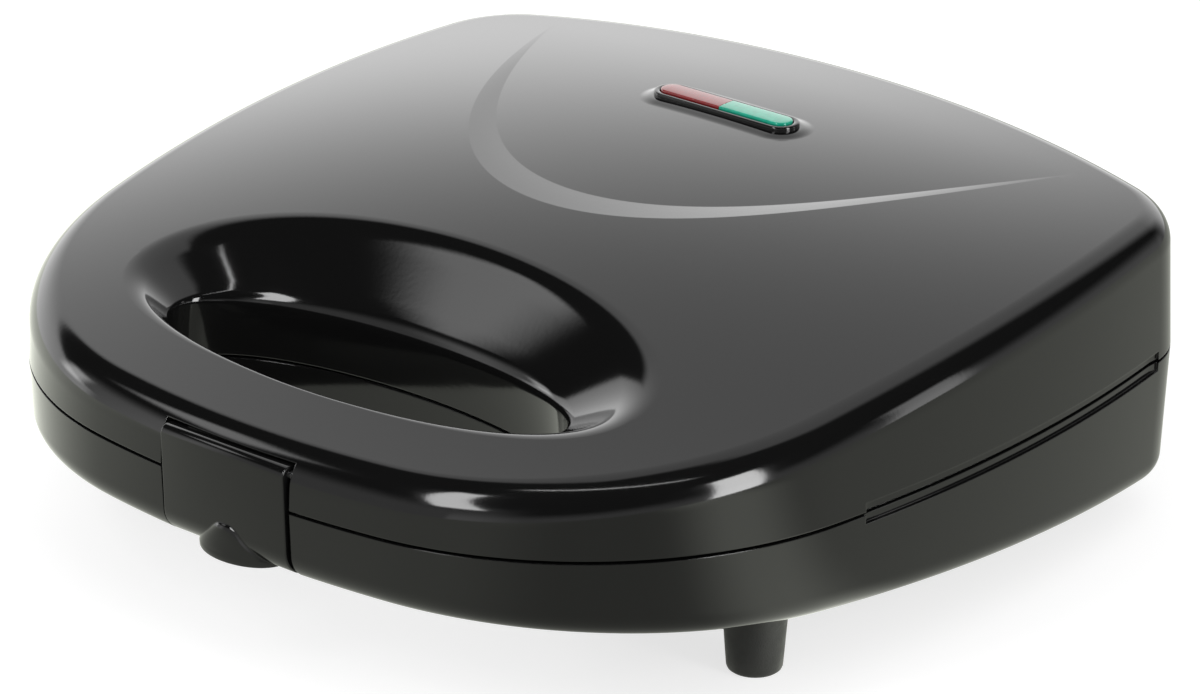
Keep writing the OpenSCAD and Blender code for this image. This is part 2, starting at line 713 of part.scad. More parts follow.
module upper_casing() {
    color([0.08, 0.08, 0.08]) place() difference() {
        union() {
            difference() {
                union() {
                    difference() {
                        housing(lid_height, 0, 0, lid_draft, lid_fillet, half_gap);
                        housing(lid_height, wall, wall, lid_draft, lid_fillet - wall, half_gap - 1);
                    }
                    intersection() {
                        housing(lid_height, 0, 0, lid_draft, lid_fillet, half_gap);
                        well_wall();
                    }
                }
                well_cut();
                panel_cut();
            }
            intersection() {
                housing(lid_height, wall / 2, wall / 2, lid_draft, lid_fillet - wall / 2, half_gap);
                union() {
                    pocket_wall(half_gap, pocket_top + wall);
                    for (p = plate_screw_places) translate([p.x, p.y, plate_set + plate_t])
                        cylinder(d = plate_boss_d, h = 40);
                    for (p = frame_boss_places) translate([p.x, p.y, frame_drop + frame_t])
                        cylinder(d = frame_boss_d, h = 40);
                }
            }
            for (s = [-1, 1]) difference() {
                union() {
                    knuckle(s * hinge_x - knuckle_l / 2, knuckle_l);
                    knuckle_web(s * hinge_x - knuckle_l / 2, knuckle_l, 1, knuckle_r);
                }
                inside_of_wall();
            }
        }
        latch_pocket();
        side_band(half_gap - 1, half_gap + band_h);
        hinge_bore_cut();
        translate([-latch_w / 2 - latch_gap - wall, latch_axis_y, latch_pin_z]) rotate([0, 90, 0])
            cylinder(d = latch_pin_d, h = latch_w + 2 * latch_gap + 2 * wall);
        for (p = plate_screw_places) translate([p.x, p.y, 0]) cylinder(d = plate_bolt_d, h = 14);
        for (p = frame_boss_places) translate([p.x, p.y, 0]) cylinder(d = frame_bolt_d, h = 12);
        on_panel() {
            translate([0, 0, -2 * bezel_skirt]) linear_extrude(4 * bezel_skirt)
                pill(bezel_l - bezel_step_l + 2 * skirt_gap, bezel_w - bezel_step_w + 2 * skirt_gap);
            translate([0, 0, -bezel_seat]) linear_extrude(2 * bezel_skirt)
                pill(bezel_l + fit_gap, bezel_w + fit_gap);
        }
    }
}

module lower_casing() {
    color([0.08, 0.08, 0.08]) place() difference() {
        union() {
            mirror([0, 0, 1]) {
                difference() {
                    union() {
                        difference() {
                            housing(base_depth, 0, 0, base_draft, base_fillet, half_gap);
                            housing(base_depth, wall, wall, base_draft, base_fillet - wall, half_gap - 1);
                        }
                        intersection() {
                            housing(base_depth, 0, 0, base_draft, base_fillet, half_gap);
                            loft([flat_well_ring(wall, half_gap), flat_well_ring(wall, 60)], well_top);
                        }
                    }
                    loft([flat_well_ring(0, -2), flat_well_ring(0, 60)], well_top);
                }
                intersection() {
                    housing(base_depth, wall / 2, wall / 2, base_draft, base_fillet - wall / 2, half_gap);
                    union() {
                        pocket_wall(half_gap, 40);
                        for (p = plate_screw_places) translate([p.x, p.y, plate_set + plate_t])
                            cylinder(d = plate_boss_d, h = 60);
                        for (p = frame_boss_places) translate([p.x, p.y, frame_boss_low])
                            cylinder(d = frame_boss_d, h = 60);
                    }
                }
            }
            for (s = [-1, 1]) difference() {
                union() for (x = [-knuckle_l / 2 - knuckle_gap - ear_l, knuckle_l / 2 + knuckle_gap]) {
                    knuckle(s * hinge_x + x, ear_l);
                    knuckle_web(s * hinge_x + x, ear_l, -knuckle_r, -1);
                }
                inside_of_wall();
            }
        }
        difference() {
            latch_pocket();
            translate([-latch_w / 2 - 5, pocket_depth - catch_reach, -catch_z])
                cube([latch_w + 10, 20, catch_t]);
        }
        mirror([0, 0, 1]) side_band(half_gap - 1, half_gap + band_h);
        hinge_bore_cut();
        for (p = plate_screw_places) translate([p.x, p.y, -14]) cylinder(d = plate_bolt_d, h = 14);
        for (p = frame_boss_places) {
            translate([p.x, p.y, -60]) cylinder(d = frame_bolt_d, h = 60);
            translate([p.x, p.y, -80 - base_bolt_seat]) cylinder(d = small_head_d + 2 * fit_gap, h = 80);
        }
        for (f = foot_places) translate([f.x, f.y, -60]) cylinder(d = foot_peg_d, h = 60 - 8);
        translate([0, body_d - 20, -inlet_z]) rotate([-90, 0, 0]) cylinder(d = inlet_d, h = 40);
    }
}
inlet_z = 20;
base_bolt_seat = 16;
// Frame left above the base screws' holes, and free hole past their tips
frame_skin = 1;
bolt_tip_gap = 0.4;
base_screw_l = base_bolt_seat - frame_drop - frame_skin - bolt_tip_gap;

// Sinks the frame screws' heads flush with the frame
module frame_piece() {
    difference() {
        frame();
        for (p = frame_boss_places) translate([p.x, p.y, 0]) {
            translate([0, 0, -20]) cylinder(d = frame_bolt_d + 0.4, h = 30);
            translate([0, 0, -frame_head_seat]) cylinder(d = small_head_d + 2 * fit_gap, h = 10);
        }
    }
}

module upper_frame() { color([0.1, 0.1, 0.1]) place() mirror([0, 0, 1]) frame_piece(); }
module lower_frame() {
    color([0.1, 0.1, 0.1]) place() difference() {
        union() {
            frame();
            for (p = frame_boss_places) translate([p.x, p.y, -frame_boss_low])
                cylinder(d = frame_boss_d, h = frame_boss_l + 1);
        }
        for (p = frame_boss_places) translate([p.x, p.y, -frame_boss_low - 1])
            cylinder(d = frame_bolt_d, h = frame_boss_low + 1 - frame_drop - frame_skin);
    }
}
module upper_plate() { color([0.16, 0.16, 0.16]) place() mirror([0, 0, 1]) baking_plate(); }
module lower_plate() { color([0.16, 0.16, 0.16]) place() baking_plate(); }
module upper_heater() { color([0.45, 0.43, 0.4]) place() mirror([0, 0, 1]) heater(); }
module lower_heater() { color([0.45, 0.43, 0.4]) place() heater(); }
module upper_clamps() { color("silver") place() mirror([0, 0, 1]) clamps(); }
module lower_clamps() { color("silver") place() clamps(); }
module upper_shield() { color([0.8, 0.8, 0.8]) place() mirror([0, 0, 1]) shield(); }
module lower_shield() { color([0.8, 0.8, 0.8]) place() shield(); }
module upper_clamp_screws() { color("silver") place() mirror([0, 0, 1]) clamp_screws(); }
module lower_clamp_screws() { color("silver") place() clamp_screws(); }
module upper_plate_screws() { color("silver") place() mirror([0, 0, 1]) plate_screws(); }
module lower_plate_screws() { color("silver") place() plate_screws(); }
module upper_frame_screws() {
    color("silver") place() for (p = frame_boss_places)
        translate([p.x, p.y, frame_head_seat]) mirror([0, 0, 1])
            screw(frame_bolt_d - bolt_play, frame_screw_l, small_head_d, frame_screw_h);
}
module base_screws() {
    color("silver") place() for (p = frame_boss_places)
        translate([p.x, p.y, -base_bolt_seat]) mirror([0, 0, 1])
            screw(frame_bolt_d - bolt_play, base_screw_l, small_head_d, base_screw_h);
}

// ---------------------------------------------------------------- controls
thermostat_d = 16;
thermostat_gap = 3;
thermostat_turn = 63.3;
// Beside the outermost bowl of the middle row, towards the back
thermostat_at = [ring_pitch, ring_centre_y]
    + (ring_out + thermostat_d / 2 + thermostat_gap) * [cos(thermostat_turn), sin(thermostat_turn)];
under_plate = plate_set + plate_t;
// Disc thermostat screwed to the back of the lower plate, with its two tabs
module thermostat() {
    color([0.75, 0.72, 0.66]) place() translate([thermostat_at.x, thermostat_at.y, -under_plate]) {
        translate([0, 0, -1]) cylinder(d = thermostat_d, h = 1);
        translate([0, 0, -7]) cylinder(d = thermostat_d - 2, h = 6 + eps);
        for (s = [-1, 1]) translate([s * 4 - 1.6, -0.4, -11]) cube([3.2, 0.8, 4 + eps]);
    }
}

// Thermal cut-out with a flat body under its strap on the back of the upper plate
module thermal_fuse() {
    color("silver") place() translate([-thermostat_at.x, thermostat_at.y, under_plate]) {
        translate([0, 0, 2.4]) rotate([0, 90, 0]) translate([0, 0, -6]) cylinder(d = 4.4, h = 12);
        translate([-2.5, -5, 0]) cube([5, 10, 0.8]);
    }
}

terminal_l_x = 30;
terminal_w = 12;
terminal_h = 9;
terminal_at = [-34, plate_back - 28];
terminal_floor = base_depth([0, terminal_at.y]) - wall;
// Screw terminals where the mains lead meets the internal wires
module terminal_block() {
    color([0.9, 0.9, 0.88]) place()
        translate([terminal_at.x, terminal_at.y, -terminal_floor]) rotate([-base_slope, 0, 0])
            difference() {
                translate([-terminal_l_x / 2, -terminal_w / 2, 0]) cube([terminal_l_x, terminal_w, terminal_h]);
                for (i = [-1, 0, 1], s = [-1, 1])
                    translate([i * 9, s * 3, 2]) cylinder(d = 3.4, h = terminal_h);
            }
}

// ---------------------------------------------------------------- lights
// Height of the sunken panel on the plane of symmetry
function panel_height(y) = lid_height([0, y]) - panel_sink(y);
bezel_floor = panel_height(bezel_y);
bezel_tilt = atan((panel_height(bezel_y + 1) - panel_height(bezel_y - 1)) / 2);
// The bezel sits in a flat pocket this deep
bezel_seat = 0.6;
lens_l = bezel_l - 3.6;
lens_proud = 0.7;
lens_split = 0.1;
// Depth of the lenses' seat, and the step round their tops
lens_t = 1.4;
lens_edge = 0.4;
// How much shorter and narrower the skirt is than the bezel, and its wall
bezel_step_l = 4.8;
bezel_step_w = 3.2;
bezel_wall = 1.2;
skirt_gap = 0.4;
bezel_skirt = 5;

module pill(l, w) {
    square([l - w, w], center = true);
    for (s = [-1, 1]) translate([s * (l - w) / 2, 0]) circle(d = w);
}

module on_panel() {
    translate([0, bezel_y, bezel_floor]) rotate([bezel_tilt, 0, 0]) children();
}
module on_lid() {
    place() on_panel() children();
}

// Raised surround of the two lenses, with a skirt through the lid
module indicator_bezel() {
    color([0.06, 0.06, 0.06]) on_lid() difference() {
        union() {
            translate([0, 0, -bezel_seat]) linear_extrude(bezel_h + bezel_seat) pill(bezel_l, bezel_w);
            translate([0, 0, -bezel_skirt]) linear_extrude(bezel_skirt)
                pill(bezel_l - bezel_step_l, bezel_w - bezel_step_w);
        }
        translate([0, 0, bezel_h - lens_t]) linear_extrude(bezel_h + bezel_skirt)
            pill(lens_l + fit_gap, lens_w + fit_gap);
        translate([0, 0, -2 * bezel_skirt]) linear_extrude(4 * bezel_skirt)
            pill(bezel_l - bezel_step_l - bezel_step_w, bezel_w - bezel_step_w - 2 * bezel_wall);
    }
}

module lens(side) {
    on_lid() translate([0, 0, bezel_h - lens_t]) intersection() {
        union() {
            linear_extrude(lens_t + lens_proud - lens_edge) pill(lens_l, lens_w);
            translate([0, 0, lens_t + lens_proud - lens_edge - eps]) linear_extrude(lens_edge)
                pill(lens_l - 2 * lens_edge, lens_w - 2 * lens_edge);
        }
        translate([side > 0 ? lens_split / 2 : -bezel_l - lens_split / 2, -bezel_w, -5])
            cube([bezel_l, 2 * bezel_w, 20]);
    }
}
module red_lens() { color([0.8, 0.15, 0.15]) lens(-1); }
module green_lens() { color([0.1, 0.75, 0.6]) lens(1); }

board_l = 40;
board_w = 14;
// Small board clipped under the bezel that carries the two lamps
module lamp_board() {
    color([0.75, 0.6, 0.35]) on_lid() translate([0, 0, -bezel_skirt - 1.6]) difference() {
        translate([-board_l / 2, -board_w / 2, 0]) cube([board_l, board_w, 1.6]);
        for (s = [-1, 1]) translate([s * 9, 0, -1]) cylinder(d = 1.2, h = 4);
    }
}
module neon_lamps() {
    color([0.95, 0.7, 0.5]) on_lid() for (s = [-1, 1]) translate([s * 9, 0, -bezel_skirt]) {
        cylinder(d = 2.9, h = 3.4);
        translate([0, 0, 3.4]) sphere(d = 2.9);
    }
}

// ---------------------------------------------------------------- feet
foot_peg_d = 6;
foot_peg_l = 6;
foot_places = [
    [-front_foot_x, front_foot_y], [front_foot_x, front_foot_y],
    [-rear_foot_x, rear_foot_y], [rear_foot_x, rear_foot_y],
];
// Tapered rubber foot, cut to the underside it is plugged into
module foot(p) {
    full_h = foot_plane;
    seat = base_depth(p);
    translate([p.x, p.y, -foot_plane]) {
        difference() {
            union() {
                cylinder(d1 = foot_d - 1.6, d2 = foot_d, h = 0.8);
                translate([0, 0, 0.8 - eps])
                    cylinder(d1 = foot_d, d2 = foot_d + foot_taper * full_h, h = full_h);
            }
            translate([0, 0, foot_plane - seat]) rotate([-base_slope, 0, 0])
                translate([-60, -60, 0]) cube([120, 120, 120]);
        }
        cylinder(d = foot_peg_d - 0.1, h = foot_plane - seat + foot_peg_l);
    }
}
module front_feet() { color([0.05, 0.05, 0.05]) place() for (i = [0, 1]) foot(foot_places[i]); }
module rear_feet() { color([0.05, 0.05, 0.05]) place() for (i = [2, 3]) foot(foot_places[i]); }

// Moves a piece onto the table, with the whole centred front to back
module place() {
    translate([0, -(hinge_end_y + tab_seat - tab_r) / 2, foot_plane]) children();
}

upper_casing();
lower_casing();
upper_frame();
lower_frame();
upper_plate();
lower_plate();
upper_heater();
lower_heater();
upper_clamps();
lower_clamps();
upper_shield();
lower_shield();
upper_clamp_screws();
lower_clamp_screws();
upper_plate_screws();
lower_plate_screws();
upper_frame_screws();
base_screws();
thermostat();
thermal_fuse();
terminal_block();
indicator_bezel();
red_lens();
green_lens();
lamp_board();
neon_lamps();
latch();
latch_pin();
latch_spring();
hinge_pins();
front_feet();
rear_feet();
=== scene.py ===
import math

import bmesh
import bpy
import numpy as np
from mathutils import Matrix, Vector
from mathutils.geometry import delaunay_2d_cdt


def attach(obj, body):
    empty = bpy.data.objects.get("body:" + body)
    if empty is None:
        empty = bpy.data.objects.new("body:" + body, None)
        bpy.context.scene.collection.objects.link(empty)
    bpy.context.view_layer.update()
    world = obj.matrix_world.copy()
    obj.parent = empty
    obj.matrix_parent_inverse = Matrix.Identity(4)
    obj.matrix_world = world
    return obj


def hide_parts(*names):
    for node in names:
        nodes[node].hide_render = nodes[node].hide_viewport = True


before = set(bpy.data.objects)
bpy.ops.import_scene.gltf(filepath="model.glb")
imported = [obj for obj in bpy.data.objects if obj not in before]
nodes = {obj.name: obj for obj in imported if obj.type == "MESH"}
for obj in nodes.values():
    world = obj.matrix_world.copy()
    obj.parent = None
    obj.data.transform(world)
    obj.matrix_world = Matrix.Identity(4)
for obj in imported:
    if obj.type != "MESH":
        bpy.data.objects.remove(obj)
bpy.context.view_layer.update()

# ------------------------------------------------------------------ sizes, mm
# x to the right, y backwards from the front of the parting plane, z up from it
GROUND = 40.5
MID_Y = 113.15
BODY_W, BODY_D = 230.0, 224.0
LID_FRONT, LID_RISE, DOME = 8.8, 18.6, 18.8
BASE_FRONT, BASE_RISE = 16.3, 18.4
WALL = 2.2
LID_FILLET, BASE_FILLET = 7.2, 6.3
LID_DRAFT, BASE_DRAFT = 2.7, 2.35
GAP = 0.4
BAND_H, BAND_DEPTH = 2.0, 1.0
BAND_Y0, BAND_Y1 = 0.36 * BODY_D, 0.85 * BODY_D


def part(x, y, z):
    """A point in metres in the part's frame."""
    return (x / 1000, (y - MID_Y) / 1000, (z + GROUND) / 1000)


# ------------------------------------------------------------------ outline
# arcs of the right half, seen from above and starting at the front: radius,
# degrees turned, steps. A last arc closes the half at the back.
ARCS = [(266.8, 8.8, 14), (83.25, 72.0, 40), (370.8, 18.4, 36), (25.3, 65.1, 30)]


def make_outline():
    """Points of the housings' outline and their outward normals."""
    p, h = np.array([0.0, 0.0]), 0.0
    rows = [(0.0, 0.0, 0.0)]

    def arc(p, h, r, a, n):
        out = []
        for k in range(1, n + 1):
            t = math.radians(h + a * k / n)
            h0 = math.radians(h)
            q = p + r * np.array([math.sin(t) - math.sin(h0), math.cos(h0) - math.cos(t)])
            out.append((q[0], q[1], h + a * k / n))
        return out

    for r, a, n in ARCS:
        got = arc(p, h, r, a, n)
        rows += got
        p, h = np.array(got[-1][:2]), got[-1][2]
    rest = 180 - h
    r = p[0] / math.sin(math.radians(rest))
    rows += arc(p, h, r, rest, 26)
    rows = np.array(rows)
    sx = BODY_W / 2 / rows[:, 0].max()
    sy = BODY_D / rows[-1, 1]
    t = np.radians(rows[:, 2])
    n = np.stack([np.sin(t) / sx, -np.cos(t) / sy], 1)
    n /= np.linalg.norm(n, axis=1)[:, None]
    xy = rows[:, :2] * [sx, sy]
    xy[-1, 0] = 0
    left = slice(len(rows) - 2, 0, -1)
    pts = np.concatenate([xy, xy[left] * [-1, 1]])
    nrm = np.concatenate([n, n[left] * [-1, 1]])
    return pts, nrm


OUT_P, OUT_N = make_outline()
N_OUT = len(OUT_P)


def lid_z(x, y):
    dome = DOME * (1 - (x / (1.32 * BODY_W / 2)) ** 2)
    arch = np.cos(math.pi / 2 * (y - 0.59 * BODY_D) / (0.81 * BODY_D)) ** 2
    return LID_FRONT + LID_RISE * y / BODY_D + dome * arch


def base_z(x, y):
    return BASE_FRONT + BASE_RISE * y / BODY_D


def side_rings(height, drop, inset, draft, fillet, z_low, steps):
    """Rings of a housing from its open rim to the end of its rounded edge."""
    rings = [np.column_stack([OUT_P - OUT_N * inset, np.full(N_OUT, z_low)])]
    wall_h = height(OUT_P[:, 0], OUT_P[:, 1]) - drop - fillet
    t = math.tan(math.radians(draft))
    for f in (0.34, 0.67):
        a0 = inset + t * wall_h
        p = OUT_P - OUT_N * (inset + (a0 - inset) * f)[:, None]
        z1 = height(*(OUT_P - OUT_N * a0[:, None]).T) - drop - fillet
        rings.append(np.column_stack([p, z_low + (z1 - z_low) * f]))
    for k in range(steps + 1):
        a = math.pi / 2 * k / steps
        p = OUT_P - OUT_N * (inset + t * wall_h + fillet * (1 - math.cos(a)))[:, None]
        z = height(p[:, 0], p[:, 1]) - drop - fillet * (1 - math.sin(a))
        rings.append(np.column_stack([p, z]))
    return rings


# ------------------------------------------------------------------ handle well
RIM_L, RIM_F, RIM_B = 69.8, 22.6, 81.8
FIN_L, FIN_F, FIN_B = 56.0, 24.4, 65.0
STEP_Z = 14.5
RIM_DROP = 1.6  # how much deeper the lid's hidden skin lies round the rim
N_WELL = 200
POW = 2 / 2.05


def oval(a, half_l, front, back, waist):
    c, s = np.cos(a), np.sin(a)
    x = half_l * np.sign(c) * np.abs(c) ** POW
    y = waist + np.where(s > 0, back - waist, waist - front) * np.sign(s) * np.abs(s) ** POW
    return x, y


ANG = 2 * math.pi * (np.arange(N_WELL) + 0.5) / N_WELL
WAIST_FIN = FIN_F + (FIN_B - FIN_F) / 2
WAIST_RIM = RIM_F + 0.46 * (RIM_B - RIM_F)


def well_xy(f, grow):
    """Outline of the well: f 0 at the finger opening, 1 at the rim, widened by grow."""
    def mix(a, b):
        return a + (b - a) * f

    x, y = oval(ANG, mix(FIN_L, RIM_L), mix(FIN_F, RIM_F), mix(FIN_B, RIM_B), mix(WAIST_FIN, WAIST_RIM))
    if np.any(grow):
        # outward normal of the oval
        dx, dy = (np.gradient(np.concatenate([q[-2:], q, q[:2]]))[2:-2] for q in (x, y))
        l = np.hypot(dx, dy)
        x, y = x + grow * dy / l, y - grow * dx / l
    return x, y


# how far the rounded rim reaches onto the lid and down the funnel: crisp in
# front, soft at the sides and back
SIDE = np.abs(np.cos(ANG))
BACK = np.clip(np.sin(ANG), 0, 1)
ROLL = 0.9 + 3.0 * np.clip(SIDE * 1.25 - 0.25, 0, 1) ** 1.5 + 2.2 * BACK


def bezier(a, b, c, n):
    out = []
    for k in range(n + 1):
        t = k / n
        out.append((1 - t) ** 2 * a + 2 * t * (1 - t) * b + t * t * c)
    return out


def well_rings():
    """From the lid's surface over the rim, down the funnel and the straight wall."""
    ax, ay = well_xy(1, ROLL)
    a = np.column_stack([ax, ay, lid_z(ax, ay)])
    bx, by = well_xy(1, 0)
    b = np.column_stack([bx, by, lid_z(bx, by)])
    cx, cy = well_xy(0, 0)
    c = np.column_stack([cx, cy, np.full(N_WELL, STEP_Z)])
    d = c.copy()
    d[:, 2] = GAP
    bc = c - b
    l_bc = np.linalg.norm(bc, axis=1)[:, None]
    u = bc / l_bc
    down = np.minimum(ROLL[:, None] * 1.15, l_bc * 0.4)
    rings = bezier(a, b, b + u * down, 10)
    lip = np.minimum(1.1 + 1.7 * BACK, l_bc[:, 0] * 0.35)[:, None]
    c0 = c - u * lip
    # the funnel between the rolled rim and the lip of the opening
    top = rings[-1]
    rings += [top + (c0 - top) * f for f in (0.2, 0.4, 0.6, 0.8)]
    rings += bezier(c0, c, c - np.array([0, 0, 1.0]) * lip, 8)
    low = rings[-2]
    rings += [low + (d - low) * f for f in (0.4, 0.8)]
    rings.append(d)
    return rings


def well_back_rings():
    """The hidden side of the well's wall, from the straight part up to the lid."""
    def ring(f, grow, z):
        x, y = well_xy(f, grow)
        return np.column_stack([x, y, z(x, y) if callable(z) else np.full(N_WELL, z)])

    return [
        ring(0, WALL, GAP),
        ring(0, WALL, STEP_Z - WALL - 2),
        ring(0.5, WALL, lambda x, y: STEP_Z + (lid_z(x, y) - STEP_Z) * 0.5 - WALL - 0.6),
        ring(1, WALL + ROLL * 0.5, lambda x, y: lid_z(x, y) - WALL - RIM_DROP),
    ]


# ------------------------------------------------------------------ panel
PANEL_L, PANEL_F, PANEL_TIP, PANEL_BAND, PANEL_DEPTH = 79.0, 105.0, 200.0, 10.0, 1.3
DEEP_FROM = 90  # y behind which the lid's hidden skin lies deeper


def crescent_outer(x):
    u = x / PANEL_L
    return PANEL_F + (PANEL_TIP - PANEL_F) * (0.72 * u * u + 0.28 * u**4)


def crescent_inner(x):
    u = np.clip(np.abs(x / PANEL_L), 0, 1)
    return crescent_outer(x) + PANEL_BAND * (1 - u**6)


def panel_sink(y):
    s = np.clip((PANEL_TIP - y) / (PANEL_TIP - PANEL_F - PANEL_BAND), 0, 1)
    return PANEL_DEPTH * np.sin(math.pi / 2 * s) ** 2


BEZEL_Y = 169.8
BEZEL_L, BEZEL_W = 41.4, 9.0
HALO_REACH, HALO_RISE = 3.4, 0.5


def halo(x, y):
    """Soft swell of the lid round the bezel."""
    d = np.hypot(np.clip(np.abs(x) - (BEZEL_L - BEZEL_W) / 2, 0, None), y - BEZEL_Y) - BEZEL_W / 2
    t = np.clip(1 - d / HALO_REACH, 0, 1)
    return HALO_RISE * t * t * (3 - 2 * t)


def halo_rings():
    """Lines round the bezel for the mesh to follow, so that the swell is smooth."""
    a = np.linspace(-math.pi / 2, math.pi / 2, 19)
    rings = []
    for d in np.arange(-0.5, HALO_REACH + 0.5, 0.5):
        r = BEZEL_W / 2 + d
        x = (BEZEL_L - BEZEL_W) / 2 + r * np.cos(a)
        y = r * np.sin(a)
        side = np.linspace(x[-1], -x[-1], 18)[1:-1]
        ring = np.concatenate([np.column_stack([x, y]), np.column_stack([side, 0 * side + r]),
                               np.column_stack([-x, -y]), np.column_stack([-side, 0 * side - r])])
        rings.append(ring + [0, BEZEL_Y])
    return rings


def top_surface(x, y, region):
    """Height of the lid's top: region 0 round the crescent, 1 its band, 2 the panel."""
    z = lid_z(x, y)
    if region == 0:
        return z
    if region == 1:
        lo, hi = crescent_outer(x), crescent_inner(x)
        f = np.clip((y - lo) / np.maximum(hi - lo, 1e-3), 0, 1)
        return z - panel_sink(hi) * f
    return z - panel_sink(y) + halo(x, y)


def region_of(x, y):
    """Region of the lid's top that a point lies in, as top_surface counts them."""
    if abs(x) >= PANEL_L or y <= crescent_outer(x):
        return 0
    return 1 if y < crescent_inner(x) else 2


def top_normal(x, y, region):
    """Normal of the lid's top, from heights a little to each side."""
    e = 0.05
    if region == 1:
        # keep the slope of the band inside the band
        lo, hi = crescent_outer(x), crescent_inner(x)
        y = min(max(y, lo + 0.12 * (hi - lo)), hi - 0.12 * (hi - lo))
        e = 0.02
    zx = (top_surface(x + e, y, region) - top_surface(x - e, y, region)) / (2 * e)
    zy = (top_surface(x, y + e, region) - top_surface(x, y - e, region)) / (2 * e)
    n = Vector((-zx, -zy, 1))
    n.normalize()
    return n


# ------------------------------------------------------------------ mesh code
class Shell:
    """Collects rings and faces, then welds them into one closed mesh."""

    def __init__(self):
        self.v, self.f = [], []

    def add(self, ring):
        k = len(self.v)
        self.v += [tuple(p) for p in ring]
        return k

    def strip(self, rings, flip=False):
        starts = [self.add(r) for r in rings]
        n = len(rings[0])
        for a, b in zip(starts, starts[1:]):
            for i in range(n):
                j = (i + 1) % n
                q = (a + i, a + j, b + j, b + i)
                self.f.append(q[::-1] if flip else q)

    def tris(self, verts, faces, flip=False):
        k = self.add(verts)
        for f in faces:
            q = tuple(k + a for a in f)
            self.f.append(q[::-1] if flip else q)

    def build(self, name):
        me = bpy.data.meshes.new(name)
        me.from_pydata([part(*p) for p in self.v], [], self.f)
        bm = bmesh.new()
        bm.from_mesh(me)
        bmesh.ops.remove_doubles(bm, verts=bm.verts, dist=2e-7)
        bm.normal_update()
        bm.to_mesh(me)
        bm.free()
        ob = bpy.data.objects.new(name, me)
        bpy.context.scene.collection.objects.link(ob)
        return ob


def inside(poly, x, y):
    """Points inside a closed polygon, as a boolean array."""
    x, y = np.asarray(x, float), np.asarray(y, float)
    hit = np.zeros(x.shape, bool)
    px, py = poly[:, 0], poly[:, 1]
    for i in range(len(poly)):
        j = i - 1
        cross = (py[i] > y) != (py[j] > y)
        if not np.any(cross):
            continue
        xi = px[i] + (y - py[i]) / (py[j] - py[i]) * (px[j] - px[i])
        hit ^= cross & (x < xi)
    return hit


def near_curve(x, y, curve):
    """Distance from each point to the nearest point of a curve."""
    d = np.full(x.shape, 1e9)
    for a in curve:
        d = np.minimum(d, (x - a[0]) ** 2 + (y - a[1]) ** 2)
    return np.sqrt(d)


def fill(outer, holes, spacing, curves=(), clear=1.1):
    """Triangles inside outer and outside the holes, with edges along the curves.

    Between them lies a grid of points, spacing apart and clear of every line.
    """
    pts = [tuple(p) for p in outer]
    edges = [(i, (i + 1) % len(outer)) for i in range(len(outer))]
    for h in holes:
        k = len(pts)
        pts += [tuple(p) for p in h]
        edges += [(k + i, k + (i + 1) % len(h)) for i in range(len(h))]
    for c in curves:
        k = len(pts)
        pts += [tuple(p) for p in c]
        edges += [(k + i, k + i + 1) for i in range(len(c) - 1)]
    lo, hi = outer.min(0), outer.max(0)
    gx, gy = [], []
    for i, y in enumerate(np.arange(lo[1], hi[1], spacing * 0.866)):
        xs = np.arange(lo[0] + (i % 2) * spacing / 2, hi[0], spacing)
        gx.append(xs)
        gy.append(np.full(len(xs), y))
    gx, gy = np.concatenate(gx), np.concatenate(gy)
    keep = inside(outer, gx, gy) & (near_curve(gx, gy, outer) > clear)
    for h in holes:
        keep &= ~inside(h, gx, gy) & (near_curve(gx, gy, h) > clear)
    for c in curves:
        keep &= near_curve(gx, gy, c) > clear
    pts += list(zip(gx[keep], gy[keep]))
    v, _, f, _, _, _ = delaunay_2d_cdt([Vector(p) for p in pts], edges, [], 0, 1e-6)
    v = np.array([tuple(p) for p in v])
    tri = np.array(f)
    c = v[tri].mean(1)
    ok = inside(outer, c[:, 0], c[:, 1])
    for h in holes:
        ok &= ~inside(h, c[:, 0], c[:, 1])
    tri = tri[ok]
    a, b, d = v[tri[:, 0]], v[tri[:, 1]], v[tri[:, 2]]
    area = (b[:, 0] - a[:, 0]) * (d[:, 1] - a[:, 1]) - (b[:, 1] - a[:, 1]) * (d[:, 0] - a[:, 0])
    tri[area < 0] = tri[area < 0][:, ::-1]
    return v, tri[np.abs(area) > 1e-9]


def prim(name, verts, faces):
    """A piece from vertices in mm, with its normals facing one way."""
    me = bpy.data.meshes.new(name)
    me.from_pydata([part(*p) for p in verts], [], faces)
    me.update()
    ob = bpy.data.objects.new(name, me)
    bpy.context.scene.collection.objects.link(ob)
    bm = bmesh.new()
    bm.from_mesh(me)
    bmesh.ops.recalc_face_normals(bm, faces=bm.faces)
    bm.to_mesh(me)
    bm.free()
    return ob


def box(name, lo, hi):
    v = [(x, y, z) for x in (lo[0], hi[0]) for y in (lo[1], hi[1]) for z in (lo[2], hi[2])]
    f = [(0, 1, 3, 2), (4, 6, 7, 5), (0, 4, 5, 1), (2, 3, 7, 6), (0, 2, 6, 4), (1, 5, 7, 3)]
    return prim(name, v, f)


def soften(ob, width, segments, angle):
    """Rounds the edges that turn by more than an angle in degrees."""
    bm = bmesh.new()
    bm.from_mesh(ob.data)
    limit = math.radians(angle)
    edges = [e for e in bm.edges if len(e.link_faces) == 2 and e.calc_face_angle() > limit]
    bmesh.ops.bevel(bm, geom=edges, offset=width / 1000, segments=segments, profile=0.5,
                    affect="EDGES", clamp_overlap=True)
    bm.to_mesh(ob.data)
    bm.free()


